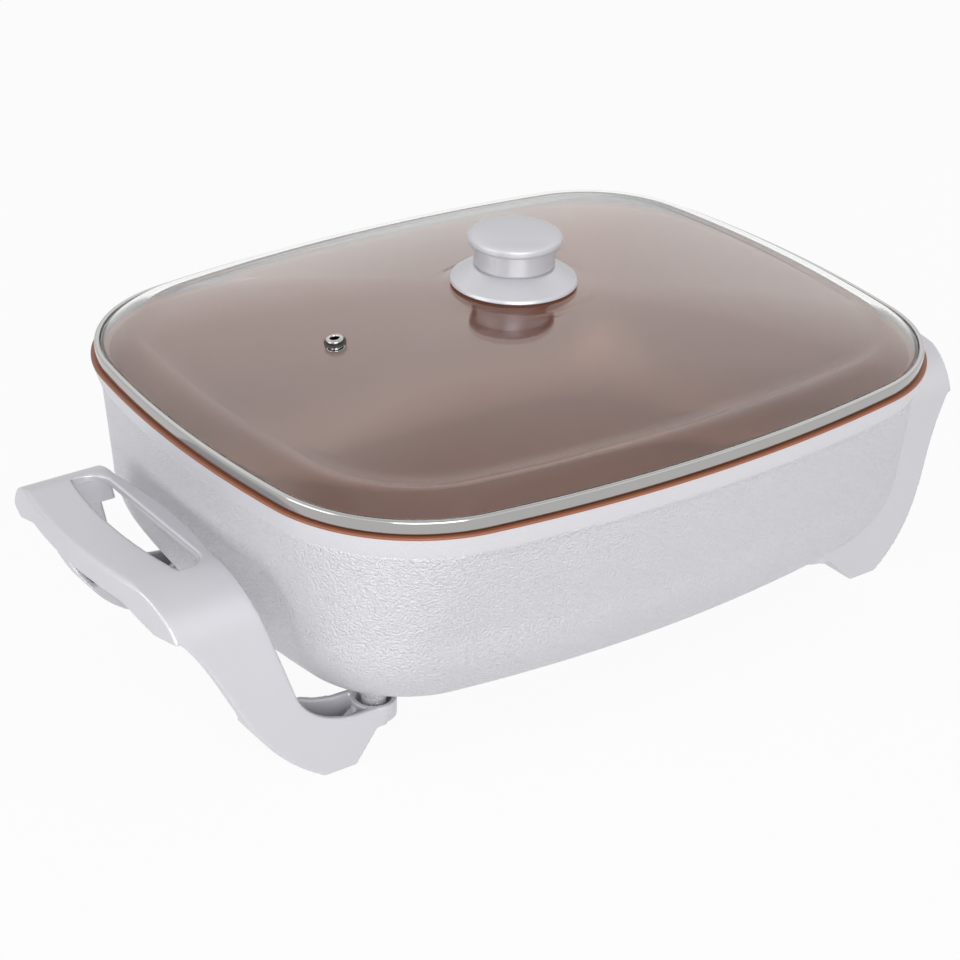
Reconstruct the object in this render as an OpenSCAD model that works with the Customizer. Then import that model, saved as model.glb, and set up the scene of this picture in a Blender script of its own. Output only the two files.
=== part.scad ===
// Electric skillet: a deep rectangular cast pan with a ceramic lining, carried by two
// moulded handles whose legs are the feet, under a loose domed glass lid.
// The origin lies on the counter, under the middle of the pan. X runs along the pan.

/* [Lid] */
// Length of the lid over its steel rim
lid_len = 400; // [370:1:430]
// Width of the lid over its steel rim
lid_wid = 328; // [310:1:350]
// Radius of the bowed long sides
long_side_r = 787; // [650:1:1200]
// Radius of the bowed short sides
short_side_r = 600; // [480:1:900]
// Corner radius of the lid
corner_r = 84; // [74:1:94]
// Height of the steel rim
rim_h = 7.2; // [6:0.2:9]
// Width of the rim's lips over the glass
rim_lip = 2.8; // [2:0.2:4]
// Sheet thickness of the steel rim
rim_t = 0.8; // [0.6:0.1:1.2]
// Thickness of the glass
glass_t = 4; // [3:0.5:5]
// Width of the steeper border of the glass
border_w = 24; // [18:1:32]
// Rise of that border
border_rise = 10; // [7:0.5:12]
// Rise of the dome above the border
dome_rise = 20.2; // [16:0.2:26]
// Place of the vent, as a share of the way out to the border
vent_share = 0.62; // [0.45:0.01:0.75]
// Bore of the steam vent
vent_d = 4.6; // [3:0.2:6]

/* [Knob] */
// Diameter of the skirt on the glass
flange_d = 66.6; // [60:0.2:74]
// Thickness of the skirt's edge
flange_edge_h = 2; // [1.5:0.1:3]
// Rise of the skirt's cone
flange_cone_h = 7; // [5:0.5:9]
// Diameter of the neck
neck_d = 42.6; // [36:0.2:46]
// Height of the neck
neck_h = 11.5; // [9:0.5:15]
// Diameter of the cap
cap_d = 49; // [47:0.5:56]
// Height of the cap
cap_h = 8.5; // [7:0.5:12]
// Diameter of the knob's screw
knob_screw_d = 5; // [4:0.5:6]

/* [Pan] */
// Clearance between the counter and the pan's underside
pan_base_z = 32; // [28:1:40]
// Depth of the pan, from its underside to its ledge
pan_depth = 110.7; // [100:0.1:120]
// Inset of the wall's foot from the lid's end
taper_x = 9.5; // [7:0.5:13]
// Inset of the wall's foot from the lid's side
taper_y = 14.5; // [10:0.5:17]
// Height of the rounding between wall and underside
fillet_h = 45.7; // [36:0.1:54]
// Width of the rounding between wall and underside
fillet_run = 33.6; // [26:0.1:40]
// Corner radius at the foot of the wall
foot_corner_r = 50; // [42:1:60]
// Corner radius of the flat underside
base_corner_r = 65; // [58:1:72]
// Thickness of the wall with its lining
wall_t = 4; // [3:0.1:5]
// Thickness of the floor with its lining
floor_t = 4; // [3.5:0.1:5.5]
// Reach of the ledge past the lid
ledge_over = 2; // [1:0.5:4]
// Inset of the ledge's inner edge from the lid's edge
ledge_in = 8; // [7.5:0.5:11]
// Thickness of the ceramic lining
coat_t = 0.5; // [0.3:0.1:0.8]
// Height of the lining's turned edge on the ledge's outside
coat_wrap = 1.2; // [1.1:0.1:3]
// Height of the smooth band below the ledge
band_h = 12.5; // [9:0.5:16]

/* [Handles] */
// Height of the grip's top above the counter
grip_z = 106.5; // [102:0.5:114]
// Reach of the grip past the lid's end
grip_reach = 60; // [56:0.5:68]
// Height of the grip bar
grip_h = 21.5; // [18:0.5:25]
// Radius of the grip's bowed outer edge, seen from above
grip_bow_r = 300; // [240:1:420]
// Width over both legs at the counter
legs_w = 206; // [196:1:214]
// Depth of each leg
leg_depth = 23; // [21:0.5:26]
// Depth of each leg half way up
leg_waist = 8.5; // [7:0.5:12]
// Lean of the legs, inwards per millimetre of height
leg_lean = 0.233; // [0.18:0.001:0.27]
// Radius where each leg turns into the grip
shoulder_r = 35; // [26:1:44]
// Wall thickness of the handle
handle_t = 2.8; // [2.2:0.1:3.2]
// Length of the sole that stands on the counter
sole_len = 18; // [14:1:24]
// Distance of the pan screws from the lid's end
hook_in = 57; // [52:1:62]
// Length of the finger slot
slot_len = 108; // [90:1:114]
// Width of the finger slot
slot_w = 21.5; // [19:0.5:23]
// Diameter of the screws that carry the pan
leg_screw_d = 4; // [3.5:0.5:5]
// Diameter of the screws in the grip covers
cover_screw_d = 3; // [2.5:0.5:3.5]

/* [Heater] */
// Diameter of the heating element's sheath
element_d = 8; // [6:0.2:8.6]
// Length of the element's loop
loop_len = 210; // [180:1:230]
// Width of the element's loop
loop_wid = 124; // [110:1:150]
// Spacing of the terminal pins
pin_gap = 30; // [26:1:32]
// Diameter of the terminal pins
pin_d = 5; // [4:0.1:5.6]
// Length of the pins past the guard's plate
pin_out = 18; // [14:1:22]
// Bore for the probe of the temperature control
probe_d = 7.5; // [6:0.1:8]
// Depth of that bore
probe_deep = 45; // [30:1:52]
// Depth of the guard's hood
guard_deep = 26; // [22:1:30]

/* [Fits] */
// Clearance of parts that are fixed together
fit = 0.1; // [0.05:0.05:0.2]
// Gap between the lid's rim and the ledge it rests on
lid_gap = 0.3; // [0.2:0.1:0.6]

/* [Hidden] */
$fn = 96;

// Painted silver, bright steel and the copper-brown lining
SILVER = [0.80, 0.80, 0.84];
STEEL = [0.74, 0.75, 0.77];
COPPER = [0.68, 0.42, 0.31];
DARK = [0.16, 0.16, 0.17];

// ---- Levels ----
ledge_z = pan_base_z + pan_depth;
rim_z = ledge_z + lid_gap;
rim_top_z = rim_z + rim_h;
floor_z = pan_base_z + floor_t;
coat_edge_z = ledge_z - coat_wrap;
band_z = ledge_z - band_h;
edge_round = 0.5;

// ---- The rounded oblong that the lid and the pan share ----
// Segments along the half short side, the corner and the half long side
short_seg = 3;
corner_seg = 9;
long_seg = 4;

function arc_centre_long(b, r1) = [0, b - r1];
function arc_centre_short(a, r2) = [a - r2, 0];
function arc_pt(c, r, angle) = c + r * [cos(angle), sin(angle)];

// Centre of the corner arc that is tangent inside both side arcs
function corner_centre(a, b, r1, r2, r) =
    let (
        from = arc_centre_long(b, r1),
        across = arc_centre_short(a, r2) - from,
        dist = norm(across),
        along = ((r1 - r) ^ 2 - (r2 - r) ^ 2 + dist ^ 2) / (2 * dist),
        off = sqrt((r1 - r) ^ 2 - along ^ 2),
        dir = across / dist
    )
    from + dir * along + off * [dir.y, -dir.x];

// One quarter of the outline, from the middle of a short side to that of a long side
function quarter(a, b, r1, r2, r) =
    let (
        c = corner_centre(a, b, r1, r2, r),
        cl = arc_centre_long(b, r1),
        cs = arc_centre_short(a, r2),
        a1 = atan2(c.y, c.x - cs.x),
        a2 = atan2(c.y - cl.y, c.x)
    )
    [
        for (i = [0:short_seg - 1]) arc_pt(cs, r2, a1 * i / short_seg),
        for (i = [0:corner_seg - 1]) arc_pt(c, r, a1 + (a2 - a1) * i / corner_seg),
        for (i = [0:long_seg]) arc_pt(cl, r1, a2 + (90 - a2) * i / long_seg)
    ];

function outline(in_x, in_y, r) =
    let (
        q = quarter(lid_len / 2 - in_x, lid_wid / 2 - in_y, long_side_r - in_y,
            short_side_r - in_x, r),
        n = len(q) - 1
    )
    [
        for (i = [0:n - 1]) q[i],
        for (i = [0:n - 1]) [-q[n - i].x, q[n - i].y],
        for (i = [0:n - 1]) -q[i],
        for (i = [0:n - 1]) [q[n - i].x, -q[n - i].y]
    ];

function at_z(points, z) = [for (p = points) [p.x, p.y, z]];
function ring(in_x, in_y, r, z) = at_z(outline(in_x, in_y, r), z);
// A ring at one inset all round, whose corner shrinks with it
function even_ring(inset, z) = ring(inset, inset, corner_r - inset, z);

// Skin through rings of equally many points; a closed one joins its last ring to its first.
// The first bands are split along their other diagonal, to lie on a skin made the other way
module skin(rings, closed = false, turned = 0) {
    n = len(rings[0]);
    m = len(rings);
    walls = [
        for (j = [0:closed ? m - 1 : m - 2], i = [0:n - 1])
            let (k = (i + 1) % n, a = j * n, b = ((j + 1) % m) * n)
                each j < turned ? [[a + i, b + i, a + k], [b + i, b + k, a + k]]
                    : [[a + i, b + k, a + k], [a + i, b + i, b + k]]
    ];
    caps = closed ? [] : [[for (i = [0:n - 1]) i], [for (i = [n - 1:-1:0]) (m - 1) * n + i]];
    polyhedron([for (r = rings) each r], concat(walls, caps), convexity = 10);
}

// ---- Shapes that several pieces use ----
function backwards(list) = [for (i = [len(list) - 1:-1:0]) list[i]];
function quarter_turn(n) = [for (i = [0:n]) 90 * i / n];
function bezier(a, b, c, d, n) = [
    for (i = [1:n])
        let (t = i / n, u = 1 - t) a * u ^ 3 + 3 * b * u * u * t + 3 * c * u * t * t + d * t ^ 3
];

module rounded_box(len, wid, r) {
    square([len, wid - 2 * r], center = true);
    square([len - 2 * r, wid], center = true);
    for (sx = [-1, 1], sy = [-1, 1])
        translate([sx * (len / 2 - r), sy * (wid / 2 - r)]) circle(r);
}

// Pan-head screw with a cross recess, pointing up +Z, its head's seat at the origin
module screw(d, len, head_d, head_h) {
    difference() {
        union() {
            cylinder(d = d, h = len);
            translate([0, 0, -head_h]) cylinder(d = head_d, h = head_h);
        }
        for (turn = [0, 90])
            rotate([0, 0, turn]) translate([-head_d * 0.3, -d * 0.11, -head_h - 1])
                cube([head_d * 0.6, d * 0.22, 1 + head_h * 0.55]);
    }
}

module washer(out_d, in_d, h) {
    difference() {
        cylinder(d = out_d, h = h);
        translate([0, 0, -1]) cylinder(d = in_d, h = h + 2);
    }
}

// ---- Pan ----
fillet_steps = 6;

// Outside of the casting, from its flat underside up to the lining's turned edge
pan_outside = [
    for (t = quarter_turn(fillet_steps))
        let (s = 1 - sin(t))
            ring(taper_x + fillet_run * s, taper_y + fillet_run * s,
                foot_corner_r + (base_corner_r - foot_corner_r) * s,
                pan_base_z + fillet_h * (1 - cos(t))),
    even_ring(2.7, band_z - 0.5),
    even_ring(1.5, band_z + 0.5),
    even_ring(-ledge_over, coat_edge_z)
];

// Inside of the bowl, from the turned edge over the ledge and down to the floor, at a depth
// of g under the lining's face
function bowl(g) = [
    even_ring(g - ledge_over, coat_edge_z),
    even_ring(g - ledge_over, ledge_z - g - edge_round),
    even_ring(g - ledge_over + edge_round, ledge_z - g),
    even_ring(ledge_in - g, ledge_z - g),
    even_ring(ledge_in + 1 - g, ledge_z - g - 1),
    for (t = quarter_turn(fillet_steps))
        let (s = 1 - cos(t))
            ring(taper_x + wall_t - g + (fillet_run - wall_t) * s,
                taper_y + wall_t - g + (fillet_run - wall_t) * s,
                foot_corner_r - wall_t + g + (base_corner_r - foot_corner_r) * s,
                floor_z - g + (fillet_h - floor_t) * (1 - sin(t)))
];

// Bosses under the pan that the legs are screwed to
boss_d = 12;
boss_deep = 15;
boss_z = pan_base_z - boss_deep;
boss_x = lid_len / 2 - hook_in;
boss_y = legs_w / 2 - leg_lean * (boss_z + 3) - leg_depth / 2;
gusset_t = 4;
gusset_len = 22;

module at_right_bosses() {
    for (sy = [-1, 1]) translate([boss_x, sy * boss_y, 0]) children();
}

module at_bosses() {
    at_right_bosses() children();
    mirror([1, 0, 0]) at_right_bosses() children();
}

// Rib that runs outwards from a boss, tapering up to the underside
module gusset() {
    rotate([90, 0, 0])
        linear_extrude(gusset_t, center = true)
            polygon([[0, boss_z + 5], [boss_d / 2, boss_z + 5], [gusset_len, pan_base_z - 2],
                [gusset_len, pan_base_z + 2], [0, pan_base_z + 2]]);
}

// The heater's loop lies in a rib under the floor, and its ends run out to the socket
rib_w = element_d + 6;
rib_deep = element_d - 1;
element_z = pan_base_z - element_d / 2;
loop_corner_r = 30;
turn_r = 13;
socket_in = 14;
socket_side = 17;
block_x = lid_len / 2 - socket_in;
block_w = pin_gap + 2 * socket_side;
block_z = element_z - 6;
block_from = loop_len / 2 - 2;

// Flat strip along the loop, w wide
module loop_strip(w) {
    difference() {
        rounded_box(loop_len + w, loop_wid + w, loop_corner_r + w / 2);
        rounded_box(loop_len - w, loop_wid - w, loop_corner_r - w / 2);
    }
}

// Rod along the loop and out to x_end, d thick
module loop_rod(d, x_end) {
    ends_y = pin_gap / 2;
    side_y = loop_wid / 2 - loop_corner_r;
    side_x = loop_len / 2 - loop_corner_r;
    for (s = [0, 1]) mirror([0, s, 0]) {
        translate([0, loop_wid / 2, 0]) rotate([0, 90, 0])
            cylinder(d = d, h = 2 * side_x, center = true);
        translate([loop_len / 2 + turn_r, ends_y, 0]) rotate([0, 90, 0])
            cylinder(d = d, h = x_end - loop_len / 2 - turn_r);
        translate([loop_len / 2, ends_y + turn_r, 0]) rotate([-90, 0, 0])
            cylinder(d = d, h = side_y - ends_y - turn_r);
        translate([loop_len / 2 + turn_r, ends_y + turn_r, 0]) rotate([0, 0, 180])
            rotate_extrude(angle = 90) translate([turn_r, 0]) circle(d = d);
        for (sx = [0, 1]) mirror([sx, 0, 0])
            translate([side_x, side_y, 0])
                rotate_extrude(angle = 90) translate([loop_corner_r, 0]) circle(d = d);
    }
    translate([-loop_len / 2, 0, 0]) rotate([90, 0, 0])
        cylinder(d = d, h = 2 * side_y, center = true);
}

// Height of the pan's outside over x on its rounding, on the long axis
function rounding_z(x) =
    let (s = (lid_len / 2 - taper_x - x) / fillet_run)
    pan_base_z + fillet_h * (1 - sqrt(1 - (1 - s) ^ 2));

// Block under the pan's end that holds the heater's ends; its hidden side lies in the wall
module socket_block() {
    steps = 5;
    sunk = floor_t * 0.4;
    reach = lid_len / 2 - taper_x - fillet_run;
    rotate([90, 0, 0])
        linear_extrude(block_w, center = true)
            polygon([
                [block_from, block_z],
                [block_x, block_z],
                for (i = [0:steps])
                    let (x = block_x + (reach - block_x) * i / steps)
                        [x, rounding_z(x + sunk * (1 - i / steps)) + sunk],
                [block_from, pan_base_z + sunk]
            ]);
}

guard_t = 2;
guard_h = 34;
guard_r = 6;
guard_z = element_z + 2;
guard_screw_d = 3;
guard_screw_y = block_w / 2 - 8;
guard_screw_z = guard_z + 9;
guard_screw_deep = 7;
collar_d = pin_d + 1;
insulator_d = pin_d + 4;
insulator_in = 6;
insulator_len = insulator_in + guard_t + 2;

module at_pins(x) {
    for (sy = [-1, 1]) translate([x, sy * pin_gap / 2, element_z]) rotate([0, 90, 0]) children();
}

module at_guard_screws(x) {
    for (sy = [-1, 1])
        translate([x, sy * guard_screw_y, guard_screw_z]) rotate([0, 90, 0]) children();
}

module pan() {
    color(SILVER)
        difference() {
            union() {
                skin(concat(pan_outside, bowl(coat_t)));
                at_bosses() translate([0, 0, boss_z]) cylinder(d = boss_d, h = boss_deep + 2);
                at_bosses() gusset();
                translate([0, 0, pan_base_z - rib_deep])
                    linear_extrude(rib_deep + 1) loop_strip(rib_w);
                socket_block();
            }
            translate([0, 0, element_z]) loop_rod(element_d + 2 * fit, block_x - insulator_in);
            translate([0, 0, pan_base_z - rib_deep - 1])
                linear_extrude(rib_deep - element_d / 2 + 1) loop_strip(element_d - 1);
            at_bosses() translate([0, 0, boss_z - 1])
                cylinder(d = leg_screw_d + fit, h = boss_deep - 1);
            at_pins(block_x - insulator_in) cylinder(d = insulator_d + 2 * fit, h = insulator_in + 1);
            at_guard_screws(block_x - guard_screw_deep)
                cylinder(d = guard_screw_d + fit, h = guard_screw_deep + 1);
            translate([block_x - probe_deep, 0, element_z]) rotate([0, 90, 0])
                cylinder(d = probe_d, h = probe_deep + 1);
        }
}

module ceramic_coating() {
    under = backwards(bowl(coat_t));
    color(COPPER) skin(concat(under, bowl(0)), turned = len(under) - 1);
}

// ---- Heater and its socket ----
module heating_element() {
    color(STEEL) translate([0, 0, element_z]) loop_rod(element_d, block_x - insulator_in - fit);
}

// Pins with a thicker collar where they sit in the insulators
module terminal_pins() {
    tip = 1;
    length = insulator_in + guard_t + pin_out;
    color(STEEL) at_pins(block_x - insulator_in) {
        cylinder(d = collar_d, h = insulator_len);
        cylinder(d = pin_d, h = length - tip);
        translate([0, 0, length - tip]) cylinder(d1 = pin_d, d2 = pin_d - 1.6, h = tip);
    }
}

module terminal_insulators() {
    color("ivory") at_pins(block_x - insulator_in)
        washer(insulator_d, collar_d + 2 * fit, insulator_len);
}

// Hood round the pins, with a rounded mouth and a back plate on the block
module socket_guard() {
    color(STEEL)
        difference() {
            translate([block_x, 0, guard_z]) rotate([90, 0, 90])
                difference() {
                    linear_extrude(guard_deep) rounded_box(block_w, guard_h, guard_r);
                    translate([0, 0, guard_t]) linear_extrude(guard_deep)
                        rounded_box(block_w - 2 * guard_t, guard_h - 2 * guard_t,
                            guard_r - guard_t);
                }
            at_pins(block_x - 1) cylinder(d = insulator_d + 4 * fit, h = guard_t + 2);
            at_guard_screws(block_x - 1) cylinder(d = guard_screw_d + 4 * fit, h = guard_t + 2);
            translate([block_x - 1, 0, element_z]) rotate([0, 90, 0])
                cylinder(d = probe_d + 1, h = guard_t + 2);
        }
}

module guard_screws() {
    color(STEEL) at_guard_screws(block_x + guard_t) rotate([180, 0, 0])
        screw(guard_screw_d, guard_t + guard_screw_deep - 1, 5.6, 2);
}

// ---- Handles: one moulding of two hooked legs and the grip between them ----
end_x = lid_len / 2;
tip_x = end_x + grip_reach;
bow_x = tip_x - grip_bow_r;
plate_t = 4;
plate_z = grip_z - plate_t;
under_z = grip_z - grip_h;
grip_bar_w = 24;
slot_out_r = grip_bow_r - grip_bar_w;
slot_in_x = tip_x - grip_bar_w - slot_w;
inner_bar_w = 9.5;
slot_r = 11;
inner_bow_r = 276;
lip_w = 8;
lip_in_r = grip_bow_r - lip_w - handle_t;
lip_z = grip_z - 12;
lip_flat = 60;
lip_end = 92;
grip_edge = 1.6;
hook_gap = 8;
hook_run = 48;
hook_flat = 1.1 * leg_screw_d + 1.2;
hook_z = boss_z - handle_t;
hook_top_z = pan_base_z - hook_gap;
sole_in = 19;
sole_out_x = end_x - sole_in;
sole_in_x = sole_out_x - sole_len;
inner_half_w = legs_w / 2 - leg_depth;
lean_scale = sqrt(1 + leg_lean ^ 2);

// The leg and the grip's end, seen from the front: under the hook, over the sole, up the
// outer edge and round the lip, and then down the inner edge to the hook's top
outer_edge = concat(
    [[boss_x, hook_z], [boss_x + hook_flat, hook_z], [sole_in_x, 0], [sole_out_x, 0]],
    bezier([sole_out_x, 0], [tip_x - 36, under_z * 0.28], [tip_x - 40, under_z * 0.66],
        [tip_x - 17, under_z], 12),
    [[tip_x + 1, under_z], [tip_x + 1, grip_z], [tip_x - 13, grip_z]]
);
knee = [end_x - 9.4, hook_top_z + 19];
inner_top = [slot_in_x - 5.5, grip_z];
inner_edge = concat(
    [inner_top],
    bezier(inner_top, [end_x + 4, grip_z * 0.83], [end_x - 3, grip_z * 0.62],
        knee, 6),
    bezier(knee, [end_x - 13.5, hook_top_z + 7], [end_x - 27, hook_top_z],
        [end_x - hook_run, hook_top_z], 8),
    [[boss_x, hook_top_z]]
);
side_outline = concat(outer_edge, inner_edge);

// An open line moved to its left by d
function beside(line, d) = [
    for (i = [0:len(line) - 1])
        let (
            last = len(line) - 1,
            before = line[max(i, 1)] - line[max(i, 1) - 1],
            after = line[min(i, last - 1) + 1] - line[min(i, last - 1)],
            n1 = [-before.y, before.x] / norm(before),
            n2 = [-after.y, after.x] / norm(after)
        )
        line[i] + d * (n1 + n2) / (1 + n1 * n2)
];

// The same shape without its wall, open past the inner edge
hollow_outline = concat(beside(outer_edge, handle_t), [for (p = inner_edge) p + [-8, 8]]);

// The arch that both legs and the grip make, seen from the end: leaning sides, round
// shoulders of radius r and a flat top
function arch(half_w, top, r) =
    let (
        c = [half_w - leg_lean * (top - r) - r * lean_scale, top - r],
        from = atan(leg_lean),
        side = [[half_w, 0], for (i = [0:8]) c + r * [cos(from + (90 - from) * i / 8),
            sin(from + (90 - from) * i / 8)]]
    )
    concat(side, [for (p = backwards(side)) [-p.x, p.y]]);

module along_x(from, to) {
    translate([from, 0, 0]) rotate([90, 0, 90]) linear_extrude(to - from) children();
}

module along_y() {
    rotate([90, 0, 0]) linear_extrude(legs_w + 20, center = true) children();
}

// Upright drum about the centre of the grip's bow
module bow_drum(r, from, to) {
    translate([bow_x, 0, from]) cylinder(r = r, h = to - from, $fn = 360);
}

// The grip's bowed outer wall, its top edge cut back
module grip_drum() {
    translate([bow_x, 0, 0]) rotate_extrude($fn = 360)
        polygon([[0, -1], [grip_bow_r, -1], [grip_bow_r, grip_z - grip_edge],
            [grip_bow_r - grip_edge - 1, grip_z + 1], [0, grip_z + 1]]);
}

// Wedge under the grip's lip that thins the bowed wall between the legs, grown by g
module lip_relief(g) {
    intersection() {
        translate([bow_x, 0, 0]) rotate_extrude($fn = 360)
            polygon([[lip_in_r + 2 - 0.69 * g, under_z - 1],
                [lip_in_r + 2 - 0.69 * g, under_z + 0.73 * g],
                [grip_bow_r + 2 - 0.69 * g, lip_z + 2 + 0.73 * g],
                [grip_bow_r + grip_h, lip_z + 2 + 0.73 * g], [grip_bow_r + grip_h, under_z - 1]]);
        along_x(0, tip_x + grip_h)
            polygon([[-lip_end - 3 * g, under_z - 2], [-lip_end - 3 * g, under_z],
                [-lip_flat - g, lip_z + 3 + g], [lip_flat + g, lip_z + 3 + g],
                [lip_end + 3 * g, under_z], [lip_end + 3 * g, under_z - 2]]);
    }
}

module handle_slot() {
    intersection() {
        translate([bow_x, 0]) circle(slot_out_r - 0.4, $fn = 360);
        translate([slot_in_x + grip_reach / 2, 0]) rounded_box(grip_reach, slot_len, slot_r);
    }
}

// Thin bar along the slot's inner edge, bowed towards the pan
module inner_bar() {
    linear_extrude(plate_t + 1)
        intersection() {
            translate([slot_in_x - inner_bar_w + inner_bow_r, 0])
                circle(inner_bow_r, $fn = 360);
            translate([slot_in_x - inner_bar_w, -slot_len / 2 - 4])
                square([inner_bar_w + 2, slot_len + 8]);
        }
}

// Hollow of the legs, open towards the pan
module leg_hollow() {
    difference() {
        intersection() {
            along_y() polygon(hollow_outline);
            along_x(0, tip_x)
                polygon(arch(legs_w / 2 - handle_t * lean_scale, grip_z - handle_t,
                    shoulder_r - handle_t));
            bow_drum(grip_bow_r - handle_t, -1, grip_z);
        }
        along_x(0, tip_x) polygon(arch(inner_half_w + handle_t * lean_scale, grip_z + 20, 4));
        lip_relief(handle_t);
    }
}

// The legs are shallower between their hooks and the grip
module waist() {
    low = [inner_half_w - leg_lean * hook_top_z - 1, hook_top_z - 8];
    high = [inner_half_w - leg_lean * under_z, under_z - 3];
    line = bezier(low, low + [24, 2], high + [26, -4], high, 10);
    intersection() {
        along_x(0, tip_x + 1) polygon(arch(legs_w / 2 - leg_waist, under_z, 4));
        along_x(0, tip_x + 1) polygon(concat(line, [for (p = backwards(line)) [-p.x, p.y]]));
    }
}

// Hollow of the grip bar, open downwards where the cover closes it
module grip_hollow() {
    half_w = inner_half_w - leg_lean * under_z + handle_t + 1;
    intersection() {
        difference() {
            union() {
                bow_drum(lip_in_r, under_z - 5, under_z + 6);
                intersection() {
                    along_y() polygon(hollow_outline);
                    bow_drum(grip_bow_r - handle_t, under_z, grip_z);
                }
            }
            bow_drum(slot_out_r + handle_t, 0, grip_z);
            lip_relief(handle_t);
        }
        translate([slot_in_x, -half_w, 0]) cube([grip_reach, 2 * half_w, grip_z - handle_t]);
    }
}

cover_t = 2.5;
cover_bulge = 2.5;
post_d = 7;
post_y = 40;
post_r = (slot_out_r + handle_t + lip_in_r) / 2;
cover_head_z = under_z + 0.8;
cover_screw_len = 11;

module at_posts(z) {
    for (sy = [-1, 1])
        translate([bow_x + sqrt(post_r ^ 2 - post_y ^ 2), sy * post_y, z]) children();
}

module handle() {
    hook_r = leg_depth / 2;
    post_z = under_z + cover_t;
    difference() {
        union() {
            difference() {
                intersection() {
                    union() {
                        along_y() polygon(side_outline);
                        translate([0, 0, plate_z - 1]) inner_bar();
                    }
                    along_x(0, tip_x + 1) polygon(arch(legs_w / 2, grip_z, shoulder_r));
                    grip_drum();
                }
                lip_relief(0);
                along_x(0, tip_x + 1) polygon(arch(inner_half_w, under_z, 4));
                waist();
                intersection() {
                    along_x(0, tip_x) polygon(arch(inner_half_w - 0.5, plate_z, 5));
                    bow_drum(slot_out_r, -1, grip_z);
                }
                leg_hollow();
                grip_hollow();
            }
            at_right_bosses() translate([0, 0, hook_z])
                cylinder(r = hook_r, h = hook_top_z - hook_z);
            at_posts(post_z) cylinder(d = post_d, h = grip_z - handle_t - post_z + 0.5);
        }
        at_right_bosses() translate([0, 0, boss_z])
            cylinder(r = hook_r - handle_t, h = hook_top_z - boss_z + 1);
        at_right_bosses() translate([0, 0, hook_z - 1])
            cylinder(d = leg_screw_d + 6 * fit, h = handle_t + 2);
        at_posts(post_z - 1) cylinder(d = cover_screw_d + fit, h = cover_screw_len + 1);
        translate([0, 0, plate_z - 1]) linear_extrude(plate_t + 2) handle_slot();
    }
}

module right_handle() {
    color(SILVER) handle();
}

module left_handle() {
    color(SILVER) mirror([1, 0, 0]) handle();
}

// Cover that closes the grip bar from below, bulging down in the middle
module handle_cover() {
    half_w = inner_half_w - leg_lean * under_z - fit;
    bulge_r = (half_w ^ 2 + cover_bulge ^ 2) / (2 * cover_bulge);
    difference() {
        intersection() {
            difference() {
                bow_drum(lip_in_r - fit, under_z - cover_bulge - 1, under_z + cover_t);
                bow_drum(slot_out_r + handle_t + fit, 0, grip_z);
            }
            translate([slot_in_x, -half_w, 0]) cube([grip_reach, 2 * half_w, grip_z]);
            translate([slot_in_x, 0, under_z - cover_bulge + bulge_r]) rotate([0, 90, 0])
                cylinder(r = bulge_r, h = grip_reach, $fn = 360);
        }
        at_posts(under_z - cover_bulge - 1)
            cylinder(d = cover_screw_d + 4 * fit, h = cover_screw_len + 1);
        at_posts(under_z - cover_bulge - 1)
            cylinder(d = 2 * cover_screw_d + 4 * fit, h = cover_head_z - under_z + cover_bulge + 1);
    }
}

module right_handle_cover() {
    color(SILVER) handle_cover();
}

module left_handle_cover() {
    color(SILVER) mirror([1, 0, 0]) handle_cover();
}

leg_washer_t = 0.8;

module leg_screws() {
    color(STEEL) at_bosses() translate([0, 0, hook_z - leg_washer_t])
        screw(leg_screw_d, leg_washer_t + handle_t + boss_deep - 4, 2 * leg_screw_d, 2.6);
}

module leg_washers() {
    color(STEEL) at_bosses() translate([0, 0, hook_z - leg_washer_t])
        washer(2.2 * leg_screw_d, leg_screw_d + 3 * fit, leg_washer_t);
}

module cover_screws() {
    color(STEEL) for (side = [0, 1]) mirror([side, 0, 0])
        at_posts(cover_head_z) screw(cover_screw_d, cover_screw_len, 2 * cover_screw_d, 1.8);
}

// ---- Lid ----
glass_top_z = rim_top_z - rim_t - fit;
glass_in = rim_t + 0.6;
seat_r = flange_d / 2 + 1.5;
border_z = glass_top_z + border_rise;
crown_z = border_z + dome_rise;
border_steps = 3;
vent_step = 0.08;

function dome_z(share) = border_z + dome_rise * (1 - share ^ 2);
function shrunk(share) = outline(border_w, border_w, corner_r - border_w) * share;

// The dome's rings out from the knob's seat; the vent lies between two of them
dome_shares = [(vent_share - vent_step + seat_r / (lid_wid / 2 - border_w)) / 2,
    vent_share - vent_step, vent_share + vent_step, (1 + vent_share + vent_step) / 2];

// Face of the glass from the flat seat of the knob out to the edge, lowered by g
function glass_face(g) = [
    [for (p = shrunk(1)) let (q = seat_r * p / norm(p)) [q.x, q.y, crown_z - g]],
    for (share = dome_shares) at_z(shrunk(share), dome_z(share) - g),
    for (i = [border_steps:-1:0])
        let (t = i / border_steps)
            even_ring(rim_lip + (border_w - rim_lip) * t, glass_top_z + border_rise * sin(90 * t) - g),
    even_ring(glass_in, glass_top_z - g)
];

knob_hole_d = knob_screw_d + 2;
vent_tube_d = vent_d + 1.4;
vent_hole_d = vent_tube_d + 1;
vent_from = dome_shares[1];
vent_to = dome_shares[2];
vent_half = lid_len / 2 - border_w;
vent_x = vent_share * vent_half;
vent_z = (dome_z(vent_from) + dome_z(vent_to)) / 2;
vent_tilt = atan((dome_z(vent_from) - dome_z(vent_to)) / ((vent_to - vent_from) * vent_half));

module at_vent() {
    translate([-vent_x, 0, vent_z]) rotate([0, -vent_tilt, 0]) children();
}

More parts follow.
